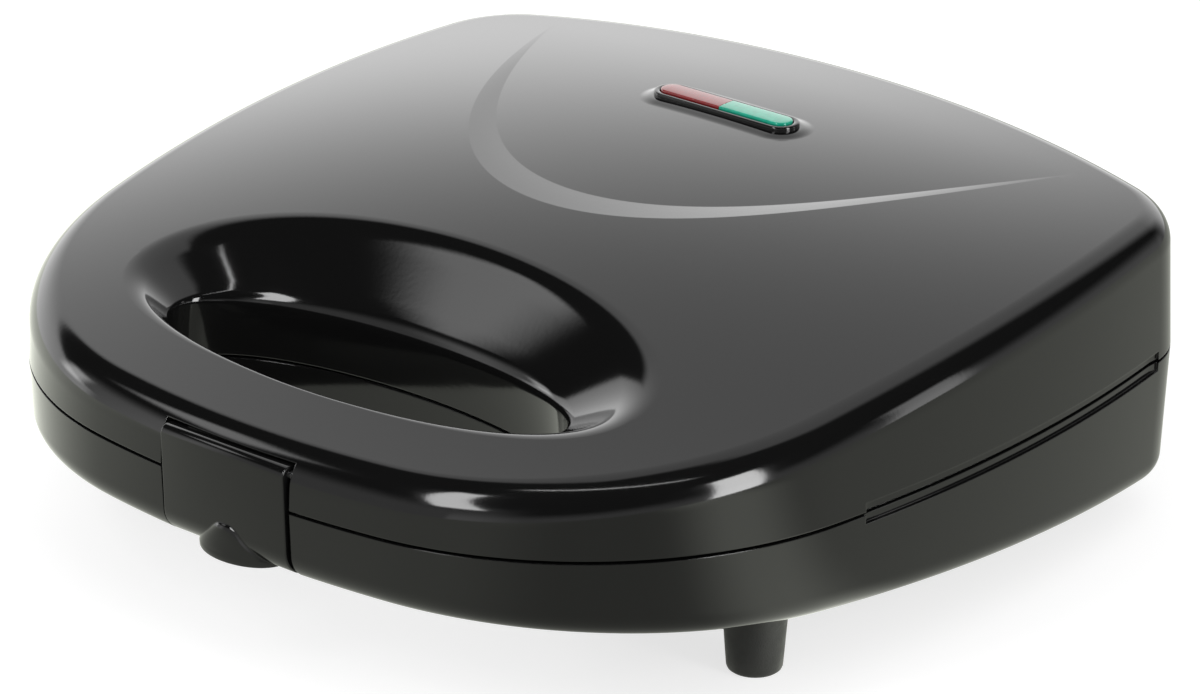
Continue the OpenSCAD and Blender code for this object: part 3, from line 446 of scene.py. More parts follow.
def prism(name, outline, axis, a, b):
    """Extrudes a closed outline [(u, v)] along an axis from a to b, in mm."""
    def place(u, v, w):
        return {"x": (w, u, v), "y": (u, w, v), "z": (u, v, w)}[axis]

    n = len(outline)
    v = [place(p[0], p[1], a) for p in outline] + [place(p[0], p[1], b) for p in outline]
    f = [tuple(range(n)), tuple(range(2 * n - 1, n - 1, -1))]
    f += [(i, (i + 1) % n, n + (i + 1) % n, n + i) for i in range(n)]
    return prim(name, v, f)


def circle(cx, cy, r, n):
    turns = [2 * math.pi * i / n for i in range(n)]
    return [(cx + r * math.cos(a), cy + r * math.sin(a)) for a in turns]


def carve(ob, tools):
    """Cuts the tools out of a piece and removes them."""
    for t in tools:
        m = ob.modifiers.new("b", "BOOLEAN")
        m.operation = "DIFFERENCE"
        m.solver = "EXACT"
        m.object = t
    deps = bpy.context.evaluated_depsgraph_get()
    me = bpy.data.meshes.new_from_object(ob.evaluated_get(deps))
    ob.modifiers.clear()
    old = ob.data
    ob.data = me
    bpy.data.meshes.remove(old)
    for t in tools:
        bpy.data.objects.remove(t)
    return ob


def smooth(ob, angle=28.0):
    """Smooth shading, with edges above an angle in degrees kept sharp."""
    me = ob.data
    me.polygons.foreach_set("use_smooth", [True] * len(me.polygons))
    me.set_sharp_from_angle(angle=math.radians(angle))
    return ob


def join(name, obs):
    """One piece from several, which are removed."""
    bm = bmesh.new()
    for o in obs:
        bm.from_mesh(o.data)
    me = bpy.data.meshes.new(name)
    bm.to_mesh(me)
    bm.free()
    for o in obs:
        bpy.data.objects.remove(o)
    ob = bpy.data.objects.new(name, me)
    bpy.context.scene.collection.objects.link(ob)
    return ob


# ------------------------------------------------------------------ materials
def material(name, color, rough, metal=0.0, spec=0.5, bevel=0.0, noise=(0.0, 1.0), spots=(0.0, 1.0),
             rough_noise=(0.0, 1.0), transmission=0.0, ior=1.5, stretch=(1, 1, 1)):
    """Procedural material. noise, spots and rough_noise are (amount, scale per metre)."""
    m = bpy.data.materials.new(name)
    m.use_nodes = True
    nt = m.node_tree
    b = nt.nodes["Principled BSDF"]
    b.inputs["Base Color"].default_value = (*color, 1)
    b.inputs["Roughness"].default_value = rough
    b.inputs["Metallic"].default_value = metal
    b.inputs["Specular IOR Level"].default_value = spec
    b.inputs["IOR"].default_value = ior
    b.inputs["Transmission Weight"].default_value = transmission
    tc = nt.nodes.new("ShaderNodeTexCoord")
    mp = nt.nodes.new("ShaderNodeMapping")
    mp.inputs["Scale"].default_value = stretch
    nt.links.new(tc.outputs["Object"], mp.inputs["Vector"])

    def tex(scale, detail=3.0):
        n = nt.nodes.new("ShaderNodeTexNoise")
        n.inputs["Scale"].default_value = scale
        n.inputs["Detail"].default_value = detail
        nt.links.new(mp.outputs["Vector"], n.inputs["Vector"])
        return n.outputs["Fac"]

    if spots[0]:
        r = nt.nodes.new("ShaderNodeValToRGB")
        lo = tuple(c * (1 - spots[0]) for c in color)
        hi = tuple(min(c * (1 + spots[0]), 1) for c in color)
        r.color_ramp.elements[0].position = 0.3
        r.color_ramp.elements[0].color = (*lo, 1)
        r.color_ramp.elements[1].position = 0.7
        r.color_ramp.elements[1].color = (*hi, 1)
        nt.links.new(tex(spots[1]), r.inputs["Fac"])
        nt.links.new(r.outputs["Color"], b.inputs["Base Color"])
    if rough_noise[0]:
        r = nt.nodes.new("ShaderNodeMapRange")
        r.inputs["From Min"].default_value = 0.3
        r.inputs["From Max"].default_value = 0.7
        r.inputs["To Min"].default_value = max(rough - rough_noise[0], 0.0)
        r.inputs["To Max"].default_value = rough + rough_noise[0]
        nt.links.new(tex(rough_noise[1]), r.inputs["Value"])
        nt.links.new(r.outputs["Result"], b.inputs["Roughness"])
    normal = None
    if bevel:
        bv = nt.nodes.new("ShaderNodeBevel")
        bv.samples = 6
        bv.inputs["Radius"].default_value = bevel / 1000
        normal = bv.outputs["Normal"]
    if noise[0]:
        bp = nt.nodes.new("ShaderNodeBump")
        bp.inputs["Strength"].default_value = noise[0]
        bp.inputs["Distance"].default_value = 0.0002
        nt.links.new(tex(noise[1], 4.0), bp.inputs["Height"])
        if normal:
            nt.links.new(normal, bp.inputs["Normal"])
        normal = bp.outputs["Normal"]
    if normal:
        nt.links.new(normal, b.inputs["Normal"])
    return m


BLACK = material("gloss_black", (0.006, 0.006, 0.006), rough=0.08, bevel=0.3,
                 rough_noise=(0.025, 14), noise=(0.02, 900))
FRAME_BLACK = material("frame_black", (0.02, 0.02, 0.021), rough=0.42, bevel=0.25,
                       noise=(0.25, 2500), rough_noise=(0.05, 60))
NONSTICK = material("nonstick_coating", (0.028, 0.028, 0.03), rough=0.36, bevel=0.3,
                    noise=(0.35, 3200), rough_noise=(0.06, 120), spots=(0.25, 900))
TUBE = material("heater_sheath", (0.3, 0.26, 0.23), rough=0.42, metal=1.0, noise=(0.3, 1800),
                spots=(0.25, 60), rough_noise=(0.08, 90))
ZINC = material("zinc_sheet", (0.56, 0.57, 0.58), rough=0.34, metal=1.0, bevel=0.15,
                spots=(0.12, 260), rough_noise=(0.06, 400), noise=(0.1, 1500))
BRIGHT = material("bright_sheet", (0.78, 0.79, 0.8), rough=0.28, metal=1.0, bevel=0.2,
                  spots=(0.06, 90), rough_noise=(0.05, 160), noise=(0.08, 700), stretch=(1, 12, 1))
STEEL = material("screw_steel", (0.5, 0.5, 0.51), rough=0.3, metal=1.0, bevel=0.12,
                 spots=(0.12, 700), rough_noise=(0.06, 900), noise=(0.1, 2500))
SPRING = material("spring_wire", (0.45, 0.45, 0.47), rough=0.26, metal=1.0, spots=(0.1, 900),
                  rough_noise=(0.05, 900))
STEATITE = material("steatite", (0.7, 0.66, 0.58), rough=0.62, bevel=0.2, noise=(0.3, 2600), spots=(0.1, 500))
TERMINAL = material("terminal_plastic", (0.8, 0.8, 0.77), rough=0.45, bevel=0.25,
                    noise=(0.15, 2200), spots=(0.03, 400))
BOARD = material("lamp_board", (0.5, 0.34, 0.14), rough=0.55, bevel=0.1, noise=(0.2, 3000),
                 spots=(0.18, 1500), stretch=(6, 1, 1))
NEON = material("neon_glass", (0.95, 0.8, 0.7), rough=0.06, transmission=0.85, ior=1.46,
                noise=(0.05, 1800), spots=(0.05, 600))
RED = material("red_lens", (0.22, 0.008, 0.01), rough=0.1, spec=0.75, bevel=0.15,
               rough_noise=(0.03, 700), spots=(0.15, 900), noise=(0.03, 1500))
GREEN = material("green_lens", (0.002, 0.36, 0.23), rough=0.1, spec=0.75, bevel=0.15,
                 rough_noise=(0.03, 700), spots=(0.15, 900), noise=(0.03, 1500))
RUBBER = material("foot_rubber", (0.012, 0.012, 0.012), rough=0.5, bevel=0.2, noise=(0.3, 2600),
                  rough_noise=(0.08, 300), spots=(0.2, 900))


def dress(ob, mat, body, slot, *replaced):
    """Gives a piece its material and body, and hides the nodes it stands for. Its slot is not used."""
    ob.data.materials.clear()
    ob.data.materials.append(mat)
    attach(ob, body)
    if replaced:
        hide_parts(*replaced)
    return ob


# ------------------------------------------------------------------ lid
HINGE_Y = BODY_D + 5.4
BARREL_R, BORE_R = 4.6, 1.66
WEB_Y = BODY_D - 12  # where the webs end, inside the wall


def hinge_barrel(name, x0, x1, z0, z1, up):
    """A hinge barrel at the back with its web from z0 to z1, as a closed solid."""
    def on_barrel(a):
        return HINGE_Y + BARREL_R * math.cos(a), BARREL_R * math.sin(a)

    # side view: a barrel whose web runs forward into the wall
    pts = [on_barrel(math.radians(-90 + 180 * k / 32)) for k in range(33)]
    if up:
        # front side of the barrel, from the web's lower face at z0 down
        a0 = math.asin(z0 / BARREL_R)
        pts += [(WEB_Y, z1), (WEB_Y, z0), (HINGE_Y - math.sqrt(BARREL_R**2 - z0 * z0), z0)]
        pts += [on_barrel(math.pi - a0 + (math.pi / 2 + a0) * k / 12) for k in range(1, 12)]
    else:
        # front side of the barrel, from its top to the web's upper face at z1
        a0 = math.asin(-z1 / BARREL_R)
        pts += [on_barrel(math.pi / 2 + (math.pi / 2 + a0) * k / 12) for k in range(1, 12)]
        pts += [(HINGE_Y - math.sqrt(BARREL_R**2 - z1 * z1), z1), (WEB_Y, z1), (WEB_Y, z0)]
    return prism(name, pts, "x", x0, x1)


def lid_casing():
    """The lid's housing: both skins, the handle well and the sunk crescent panel."""
    s = Shell()
    outer = side_rings(lid_z, 0, 0, LID_DRAFT, LID_FILLET, GAP, 16)
    inner = side_rings(lid_z, WALL, WALL, LID_DRAFT, LID_FILLET - WALL, GAP, 6)
    s.strip([inner[0], outer[0]])
    s.strip(outer)
    s.strip(inner, flip=True)
    well = well_rings()
    back = well_back_rings()
    s.strip(well)
    s.strip([well[-1], back[0]])
    s.strip(back)
    # the top between the rounded edge and the well, with the crescent's creases
    xs = PANEL_L * np.sin(np.linspace(-math.pi / 2, math.pi / 2, 121))
    c_out = np.column_stack([xs, crescent_outer(xs)])
    c_in = np.column_stack([xs[1:-1], crescent_inner(xs[1:-1])])
    tips = np.array([c_out[0], c_out[-1]])
    c_in = np.concatenate([tips[:1], c_in, tips[1:]])
    creases = [c_out, c_in[1:-1]] + halo_rings()
    v, f = fill(outer[-1][:, :2], [well[0][:, :2]], 2.3, creases)
    z = lid_z(v[:, 0], v[:, 1])
    for i, p in enumerate(v):
        if abs(p[0]) < PANEL_L - 1e-6 and p[1] > crescent_outer(p[0]) + 1e-6:
            r = 2 if p[1] >= crescent_inner(p[0]) - 1e-6 else 1
            z[i] = top_surface(p[0], p[1], r)
    s.tris(np.column_stack([v, z]), f)
    # the hidden skin, deeper behind the well so that it clears the sunk panel
    v, f = fill(inner[-1][:, :2], [back[-1][:, :2]], 14, clear=6)
    z = lid_z(v[:, 0], v[:, 1]) - WALL - PANEL_DEPTH * (v[:, 1] > DEEP_FROM)
    edge = near_curve(v[:, 0], v[:, 1], inner[-1]) < 1e-3
    z[edge] += PANEL_DEPTH * (v[edge, 1] > DEEP_FROM)
    hole = near_curve(v[:, 0], v[:, 1], back[-1]) < 1e-3
    z[hole] = lid_z(v[hole, 0], v[hole, 1]) - WALL - RIM_DROP
    s.tris(np.column_stack([v, z]), f, flip=True)
    return s


def base_casing():
    """The base's housing, built upside down and mirrored at the end."""
    s = Shell()
    outer = side_rings(base_z, 0, 0, BASE_DRAFT, BASE_FILLET, GAP, 14)
    inner = side_rings(base_z, WALL, WALL, BASE_DRAFT, BASE_FILLET - WALL, GAP, 5)

    def ring(grow, z):
        x, y = well_xy(0, grow)
        return np.column_stack([x, y, z(x, y)])

    def at_gap(x, y):
        return GAP + 0 * x

    def half_way(x, y):
        return base_z(x, y) * 0.5

    edge_r = 1.6
    a = ring(edge_r, base_z)
    b = ring(0, base_z)
    c = ring(0, lambda x, y: base_z(x, y) - edge_r)
    hole = bezier(a, b, c, 6) + [ring(0, half_way), ring(0, at_gap)]
    back = [ring(WALL, at_gap), ring(WALL, half_way), ring(WALL, lambda x, y: base_z(x, y) - WALL)]
    for rings in ([inner[0], outer[0]], outer, inner, hole, [hole[-1], back[0]], back):
        s.strip(rings)
    for edge, well, drop in ((outer[-1], hole[0], 0), (inner[-1], back[-1], WALL)):
        v, f = fill(edge[:, :2], [well[:, :2]], 16, clear=5)
        s.tris(np.column_stack([v, base_z(v[:, 0], v[:, 1]) - drop]), f)
    s.v = [(x, y, -z) for x, y, z in s.v]
    return s


def outward(ob):
    """Turns every face of a closed piece outwards."""
    bm = bmesh.new()
    bm.from_mesh(ob.data)
    bmesh.ops.recalc_face_normals(bm, faces=bm.faces)
    if bm.calc_volume(signed=True) < 0:
        bmesh.ops.reverse_faces(bm, faces=bm.faces)
    bm.to_mesh(ob.data)
    bm.free()
    return ob


LATCH_W = 36.2
# hollow for the latch, and its liner: half widths, depth, top
SLOT, POCKET_Y, POCKET_TOP = 19.0, 6.2, 10.6
LINER_BACK, LINER_SIDE, LINER_Y = 20.6, 20.7, 2.4
PIN_Y, PIN_Z = 2.6, 7.9
# hinge barrels on the right, from and to; the left ones mirror them
EARS = [(54.5, 69.5)]
BASE_EARS = [(47.1, 54.1), (69.9, 76.9)]
# screws in the base: beside these points of the outline, and this far in
SCREW_STEPS, SCREW_IN = (46, 81), 8.5
SCREW_WELL_R, BOSS_R, SCREW_HOLE_R = 3.0, 3.7, 1.5


def pocket_liner(back_z, side_z):
    """Walls behind and beside the latch's hollow, each from one height to another."""
    return [
        box("liner_b", (-LINER_BACK, POCKET_Y, back_z[0]), (LINER_BACK, POCKET_Y + WALL, back_z[1])),
        box("liner_l", (-LINER_SIDE, LINER_Y, side_z[0]), (-SLOT, POCKET_Y + WALL, side_z[1])),
        box("liner_r", (SLOT, LINER_Y, side_z[0]), (LINER_SIDE, POCKET_Y + WALL, side_z[1])),
    ]


def band_tools(z0, z1):
    """Tools that cut the shallow band along both sides of a housing."""
    keep = (OUT_P[:, 1] > BAND_Y0) & (OUT_P[:, 1] < BAND_Y1) & (OUT_P[:, 0] > 0)
    p = (OUT_P - OUT_N * BAND_DEPTH)[keep]
    p = p[np.argsort(p[:, 1])]
    x0 = np.interp(BAND_Y0, p[:, 1], p[:, 0])
    x1 = np.interp(BAND_Y1, p[:, 1], p[:, 0])
    far = 130  # outside the housing
    side = [(x0, BAND_Y0)] + [tuple(q) for q in p] + [(x1, BAND_Y1), (far, BAND_Y1), (far, BAND_Y0)]
    mirrored = [(-x, y) for x, y in side]
    return [prism("band_r", side, "z", z0, z1), prism("band_l", mirrored, "z", z0, z1)]


def hinge_barrels(name, spans, z0, z1, up):
    """Bored barrels at the right and left, cut off inside the housing's wall."""
    wall = [tuple(p) for p in (OUT_P - OUT_N * 1.3)[::2]]
    out = []
    for k, (x0, x1) in enumerate(spans + [(-b, -a) for a, b in spans]):
        ob = hinge_barrel(f"{name}_{k}", x0, x1, z0, z1, up)
        bore = prism("bore", circle(HINGE_Y, 0, BORE_R, 40), "x", x0 - 1, x1 + 1)
        carve(ob, [bore, prism("wall", wall, "z", -20, 20)])
        out.append(ob)
    return out


def top_normals(ob):
    """Gives the lid's top its exact normals, so that its gloss shows no facets."""
    me = ob.data
    n_loops = len(me.loops)
    normals = np.zeros(n_loops * 3)
    me.corner_normals.foreach_get("vector", normals)
    normals = normals.reshape(-1, 3)
    vi = np.zeros(n_loops, int)
    me.loops.foreach_get("vertex_index", vi)
    co = np.zeros(len(me.vertices) * 3)
    me.vertices.foreach_get("co", co)
    co = co.reshape(-1, 3) * 1000
    x, y, z = co[:, 0], co[:, 1] + MID_Y, co[:, 2] - GROUND
    top = z - lid_z(x, y) > -WALL
    for p in me.polygons:
        vs = list(p.vertices)
        if not all(top[v] for v in vs):
            continue
        cx, cy = x[vs].mean(), y[vs].mean()
        r = region_of(cx, cy)
        if max(abs(top_surface(x[v], y[v], r) - z[v]) for v in vs) > 0.02:
            continue
        for li in p.loop_indices:
            normals[li] = top_normal(x[vi[li]], y[vi[li]], r)
    me.normals_split_custom_set([tuple(n) for n in normals])


lid = outward(lid_casing().build("lid_housing"))
slot = box("slot", (-SLOT, -8, -2), (SLOT, POCKET_Y, POCKET_TOP))
carve(lid, [slot] + band_tools(-0.6, GAP + BAND_H))
liner = pocket_liner((GAP, POCKET_TOP + 0.5), (GAP, 8.6))
lid = join("lid_housing", [lid] + liner + hinge_barrels("lid_ear", EARS, 1.0, BARREL_R, True))
smooth(lid)
top_normals(lid)
dress(lid, BLACK, "lid", "housing", "upper_casing")

base = outward(base_casing().build("base_housing"))
SCREW_AT = [OUT_P[i] - OUT_N[i] * SCREW_IN for i in SCREW_STEPS]
SCREW_AT += [p * [-1, 1] for p in SCREW_AT]
tools = [box("slot", (-SLOT, -8, -30), (SLOT, POCKET_Y, 2))] + band_tools(-GAP - BAND_H, 0.6)
tools += [prism("inlet", circle(0, -20, 4.5, 64), "y", BODY_D - 20, BODY_D + 10)]
for i, p in enumerate(SCREW_AT):
    tools.append(prism(f"well{i}", circle(p[0], p[1], SCREW_WELL_R, 40), "z", -60, -14))
carve(base, tools)
liner = pocket_liner((-14.6, -GAP), (-12.0, -GAP))
liner.append(box("catch", (-SLOT - 0.1, 4.9, -7.4), (SLOT + 0.1, POCKET_Y + 1, -5.8)))


def screw_boss(name, x, y):
    """A boss round a screw: its well from below, a floor and a hole for the screw."""
    low = 1 - float(base_z(x, y))
    s = Shell()
    s.strip([np.array([(*q, z) for q in circle(x, y, r, 40)]) for r, z in (
        (BOSS_R, low), (BOSS_R, -10), (SCREW_HOLE_R, -10), (SCREW_HOLE_R, -16),
        (SCREW_WELL_R, -16), (SCREW_WELL_R, low), (BOSS_R, low))])
    return outward(s.build(name))


liner += [screw_boss(f"boss{i}", *p) for i, p in enumerate(SCREW_AT)]
base = join("base_housing", [base] + liner + hinge_barrels("base_ear", BASE_EARS, -BARREL_R, -1.0, False))
smooth(base)
dress(base, BLACK, "base", "housing", "lower_casing")


# ------------------------------------------------------------------ latch
LEAN = 0.055
LATCH_FRONT, LATCH_LOW = -0.2, 16.0
# sections of the flared thumb tab: height, half width, where its sides end, front
TAB = [(-8.0, 2.0, 0.5, -0.15), (-8.3, 2.9, 0.7, -0.6), (-8.8, 3.8, 0.9, -0.9), (-9.6, 4.9, 1.1, -1.1),
       (-10.6, 6.3, 1.5, -1.25), (-11.7, 7.9, 2.1, -1.4), (-12.8, 9.3, 3.1, -1.6), (-13.7, 10.4, 4.1, -1.8),
       (-14.3, 11.1, 5.0, -1.95), (-14.7, 11.4, 5.4, -2.1), (-15.0, 11.5, 5.4, -2.15), (-16.0, 11.5, 5.4, -2.15),
       (-16.3, 11.35, 5.35, -2.0), (-16.4, 11.0, 5.2, -1.6)]


def capped(name, rings):
    """A closed piece from rings with flat ends."""
    s = Shell()
    s.strip(rings)
    for r in (rings[0], rings[-1]):
        k = s.add(r)
        s.f.append(tuple(range(k, k + len(r))))
    return outward(s.build(name))


def latch_piece():
    """The latch: a bent plate seen from the side, its hook and its thumb tab."""
    pts = [(1.9 - 2.1 * math.cos(a), 7.85 + 2.1 * math.sin(a)) for a in np.linspace(0, math.pi / 2, 15)]
    pts += [(3.3, 9.95), (4.2, 9.6), (4.85, 8.95), (5.25, 8.0), (5.2, 6.9), (4.6, 6.0), (3.6, 5.2), (2.8, 4.4)]
    pts += [(2.8, -9.6), (3.4, -11.3), (5.4, -11.6), (5.4, -LATCH_LOW)]
    # the rounded edge of the base, which the latch follows at the bottom
    r = BASE_FILLET
    cy, cz = LATCH_FRONT + r, -BASE_FRONT + r
    turns = np.linspace(math.asin((LATCH_LOW + cz) / r), 0, 15)
    pts += [(cy - r * math.cos(a), cz - r * math.sin(a)) for a in turns]
    pts = [(y + (LEAN * -z if z < 0 and y < 5 else 0), z) for y, z in pts]
    body = prism("latch_body", pts, "x", -LATCH_W / 2, LATCH_W / 2)
    soften(body, 0.35, 3, 40)
    hook = prism("hook", [(2.6, -9.5), (4.64, -8.3), (4.64, -7.7), (2.6, -7.7)], "x", -9, 9)
    rings = []
    a = np.linspace(-math.pi / 2, math.pi / 2, 65)
    for z, w, back, front in TAB:
        y = np.minimum(back - (back - front) * np.cos(a) - LEAN * z, 5.4)
        rings.append(np.column_stack([w * np.sin(a) + 0.3, y, np.full(len(a), z)]))
    return join("latch_clip", [body, hook, capped("tab", rings)])


latch = smooth(latch_piece(), 35)
dress(latch, BLACK, "latch", "housing", "latch")
pin = circle(PIN_Y, PIN_Z, 0.9, 32)
pin_rings = [np.array([(x, PIN_Y + (y - PIN_Y) * f, PIN_Z + (z - PIN_Z) * f) for y, z in pin])
             for x, f in ((-19.9, 0.8), (-19.7, 1.0), (19.7, 1.0), (19.9, 0.8))]
dress(smooth(capped("latch_axle", pin_rings)), STEEL, "lid", "screw_steel", "latch_pin")

# ------------------------------------------------------------------ pilot lights
SEAT_Z = float(lid_z(0.0, BEZEL_Y) - panel_sink(BEZEL_Y))
TILT = math.atan(sum(k * float(lid_z(0.0, BEZEL_Y + k) - panel_sink(BEZEL_Y + k)) for k in (-1, 1)) / 2)


def on_panel(x, y, z):
    """A point in the frame of the lights: their middle, tilted with the panel."""
    c, s = math.cos(TILT), math.sin(TILT)
    return (x, BEZEL_Y + y * c - z * s, SEAT_Z + y * s + z * c)


def pill(l, w, z, n=24):
    """A ring of two half circles, l long and w wide, at a height over the panel."""
    r, out = w / 2, []
    for side in (1, -1):
        for k in range(n + 1):
            a = -math.pi / 2 + math.pi * k / n
            out.append((side * ((l - w) / 2 + r * math.cos(a)), side * r * math.sin(a), z))
    return np.array([on_panel(*p) for p in out])


def pill_rings(l, w, profile):
    """Rings of a pill from a profile of (distance in from its edge, height)."""
    return [pill(l - 2 * d, w - 2 * d, z) for d, z in profile]


prof = [(2.4, -5.0), (2.4, -0.6), (0.0, -0.6), (0.0, 0.95)]
prof += [(0.5 - 0.5 * math.cos(a), 0.95 + 0.5 * math.sin(a)) for a in (0.3, 0.6, 0.9, 1.2, 1.57)]
prof += [(1.15, 1.45), (1.35, 1.35), (1.45, 1.15), (1.45, 0.1), (2.9, 0.1), (2.9, -5.0)]
rings = pill_rings(BEZEL_L, BEZEL_W, prof)
shell = Shell()
shell.strip(rings + [rings[0]])
bezel = smooth(outward(shell.build("light_bezel")), 35)
dress(bezel, BLACK, "lid", "housing", "indicator_bezel")

LENS_L, LENS_W = BEZEL_L - 3.3, 5.7
LENS_GAP = 0.06  # from the middle to each lens
prof = [(0.0, 0.1), (0.0, 1.5)]
prof += [(0.5 - 0.5 * math.cos(a), 1.5 + 0.4 * math.sin(a)) for a in (0.26, 0.52, 0.79, 1.05, 1.31, 1.57)]
prof += [(1.4, 1.97)]
for name, side, mat, node_name in (
    ("light_lens_left", -1, RED, "red_lens"),
    ("light_lens_right", 1, GREEN, "green_lens"),
):
    # each lens is its half of a whole pill
    ob = capped(name, pill_rings(LENS_L, LENS_W, prof))
    bm = bmesh.new()
    bm.from_mesh(ob.data)
    r = bmesh.ops.bisect_plane(bm, geom=bm.verts[:] + bm.edges[:] + bm.faces[:],
                               plane_co=(side * LENS_GAP / 1000, 0, 0), plane_no=(-side, 0, 0), clear_outer=True)
    bmesh.ops.edgeloop_fill(bm, edges=[e for e in r["geom_cut"] if isinstance(e, bmesh.types.BMEdge)])
    bmesh.ops.recalc_face_normals(bm, faces=bm.faces)
    bm.to_mesh(ob.data)
    bm.free()
    smooth(ob, 40)
    dress(ob, mat, "lid", node_name, node_name)


# ------------------------------------------------------------------ feet
FOOT_R, FOOT_FLARE = 6.2, 0.075


def foot(name, x, y):
    """A round foot from the ground into the base's underside."""
    h = GROUND - float(base_z(x, y)) + 1.2
    prof = [(0.0, 0.0), (4.9, 0.0), (5.5, 0.15), (5.95, 0.5), (FOOT_R, 1.1)]
    prof += [(FOOT_R + FOOT_FLARE * (z - 0.8), z) for z in (4.0, 8.0, h - 3.2)]
    r0 = prof[-1][0]
    prof += [(r0 + 0.25, h - 2.4), (r0 + 0.55, h - 1.6), (r0 + 0.6, h), (0.0, h)]
    s = Shell()
    s.strip([np.array([(*q, z - GROUND) for q in circle(x, y, max(r, 0.001), 56)]) for r, z in prof])
    return outward(s.build(name))


for name, node_name, x, y in (("feet_front", "front_feet", 88.5, 72.5), ("feet_rear", "rear_feet", 82.0, 188.0)):
    ob = smooth(join(name, [foot(name + "_l", -x, y), foot(name + "_r", x, y)]), 35)
    dress(ob, RUBBER, "base", "rubber_foot", node_name)

# ------------------------------------------------------------------ inside
# the solids that are shown as they are, with their materials
LOOKS = {
    "upper_frame": FRAME_BLACK, "lower_frame": FRAME_BLACK, "upper_plate": NONSTICK, "lower_plate": NONSTICK,
    "upper_heater": TUBE, "lower_heater": TUBE, "upper_clamps": ZINC, "lower_clamps": ZINC,
    "upper_shield": BRIGHT, "lower_shield": BRIGHT, "upper_clamp_screws": STEEL, "lower_clamp_screws": STEEL,
    "upper_plate_screws": STEEL, "lower_plate_screws": STEEL, "upper_frame_screws": STEEL, "base_screws": STEEL,
    "thermostat": STEATITE, "thermal_fuse": ZINC, "terminal_block": TERMINAL, "lamp_board": BOARD,
    "neon_lamps": NEON, "latch_spring": SPRING, "hinge_pins": STEEL,
}
for name, mat in LOOKS.items():
    ob = nodes[name]
    ob.data.materials.clear()
    ob.data.materials.append(mat)


# ------------------------------------------------------------------ stage
# angles are in degrees round the part: 0 is behind it, 90 on its right
FLOOR_LIFT = 0.72  # glow of the floor that only the camera and clear pieces see


class Graph:
    """Small helper that writes sums as shader nodes."""

    def __init__(self, nt):
        self.nt = nt

    def add(self, kind, **inputs):
        n = self.nt.nodes.new(kind)
        for k, v in inputs.items():
            self.put(n.inputs[k], v)
        return n

    def put(self, socket, v):
        if isinstance(v, bpy.types.NodeSocket):
            self.nt.links.new(v, socket)
        else:
            socket.default_value = v

    def math(self, op, *args):
        n = self.nt.nodes.new("ShaderNodeMath")
        n.operation = op
        for k, v in enumerate(args):
            self.put(n.inputs[k], v)
        return n.outputs[0]

    def ramp(self, v, a, b, lo=0.0, hi=1.0, smooth=True):
        """lo where v is a or less, hi where it is b or more."""
        n = self.nt.nodes.new("ShaderNodeMapRange")
        n.interpolation_type = "SMOOTHSTEP" if smooth else "LINEAR"
        for k, x in (("Value", v), ("From Min", a), ("From Max", b), ("To Min", lo), ("To Max", hi)):
            self.put(n.inputs[k], x)
        return n.outputs["Result"]

    def mul(self, a, *rest):
        for b in rest:
            a = self.math("MULTIPLY", a, b)
        return a

    def plus(self, a, *rest):
        for b in rest:
            a = self.math("ADD", a, b)
        return a

    def minus(self, a, b):
        return self.math("SUBTRACT", a, b)

    def band(self, v, mid, half, soft):
        """1 where v is within half of mid, falling to 0 over soft."""
        off = self.math("ABSOLUTE", self.minus(v, mid))
        return self.ramp(off, half - soft / 2, half + soft / 2, 1.0, 0.0)

    def mix(self, fac, a, b):
        n = self.nt.nodes.new("ShaderNodeMixShader")
        for k, v in enumerate((fac, a, b)):
            self.put(n.inputs[k], v)
        return n.outputs[0]


def floor_material():
    """White floor, with a soft shadow and a glow of its own in the housing's gloss."""
    m = bpy.data.materials.new("floor_white")
    m.use_nodes = True
    nt = m.node_tree
    g = Graph(nt)
    b = nt.nodes["Principled BSDF"]
    b.inputs["Base Color"].default_value = (0.45, 0.45, 0.45, 1)
    b.inputs["Roughness"].default_value = 0.7
    b.inputs["Specular IOR Level"].default_value = 0.0
    lift = g.add("ShaderNodeEmission", Color=(1, 1, 1, 1), Strength=FLOOR_LIFT)
    seen = g.add("ShaderNodeAddShader")
    g.put(seen.inputs[0], b.outputs[0])
    g.put(seen.inputs[1], lift.outputs[0])
    pos = g.add("ShaderNodeSeparateXYZ", Vector=g.add("ShaderNodeNewGeometry").outputs["Position"])
    az = g.math("DEGREES", g.math("ARCTAN2", pos.outputs["X"], pos.outputs["Y"]))
    left = g.band(az, -85.0, 40.0, 70.0)
    glow = g.plus(0.6, g.mul(left, 1.05), g.mul(g.band(az, 106.0, 9.0, 15.0), 0.75))
    glow = g.minus(glow, g.mul(g.band(az, 135.0, 17.0, 22.0), 0.22))
    shine = g.add("ShaderNodeEmission", Color=(1.0, 1.03, 0.92, 1), Strength=glow)
    lp = g.add("ShaderNodeLightPath")
    out = g.mix(lp.outputs["Is Camera Ray"], b.outputs[0], seen.outputs[0])
    out = g.mix(lp.outputs["Is Transmission Ray"], out, seen.outputs[0])
    out = g.mix(lp.outputs["Is Glossy Ray"], out, shine.outputs[0])
    g.put(nt.nodes["Material Output"].inputs["Surface"], out)
    return m


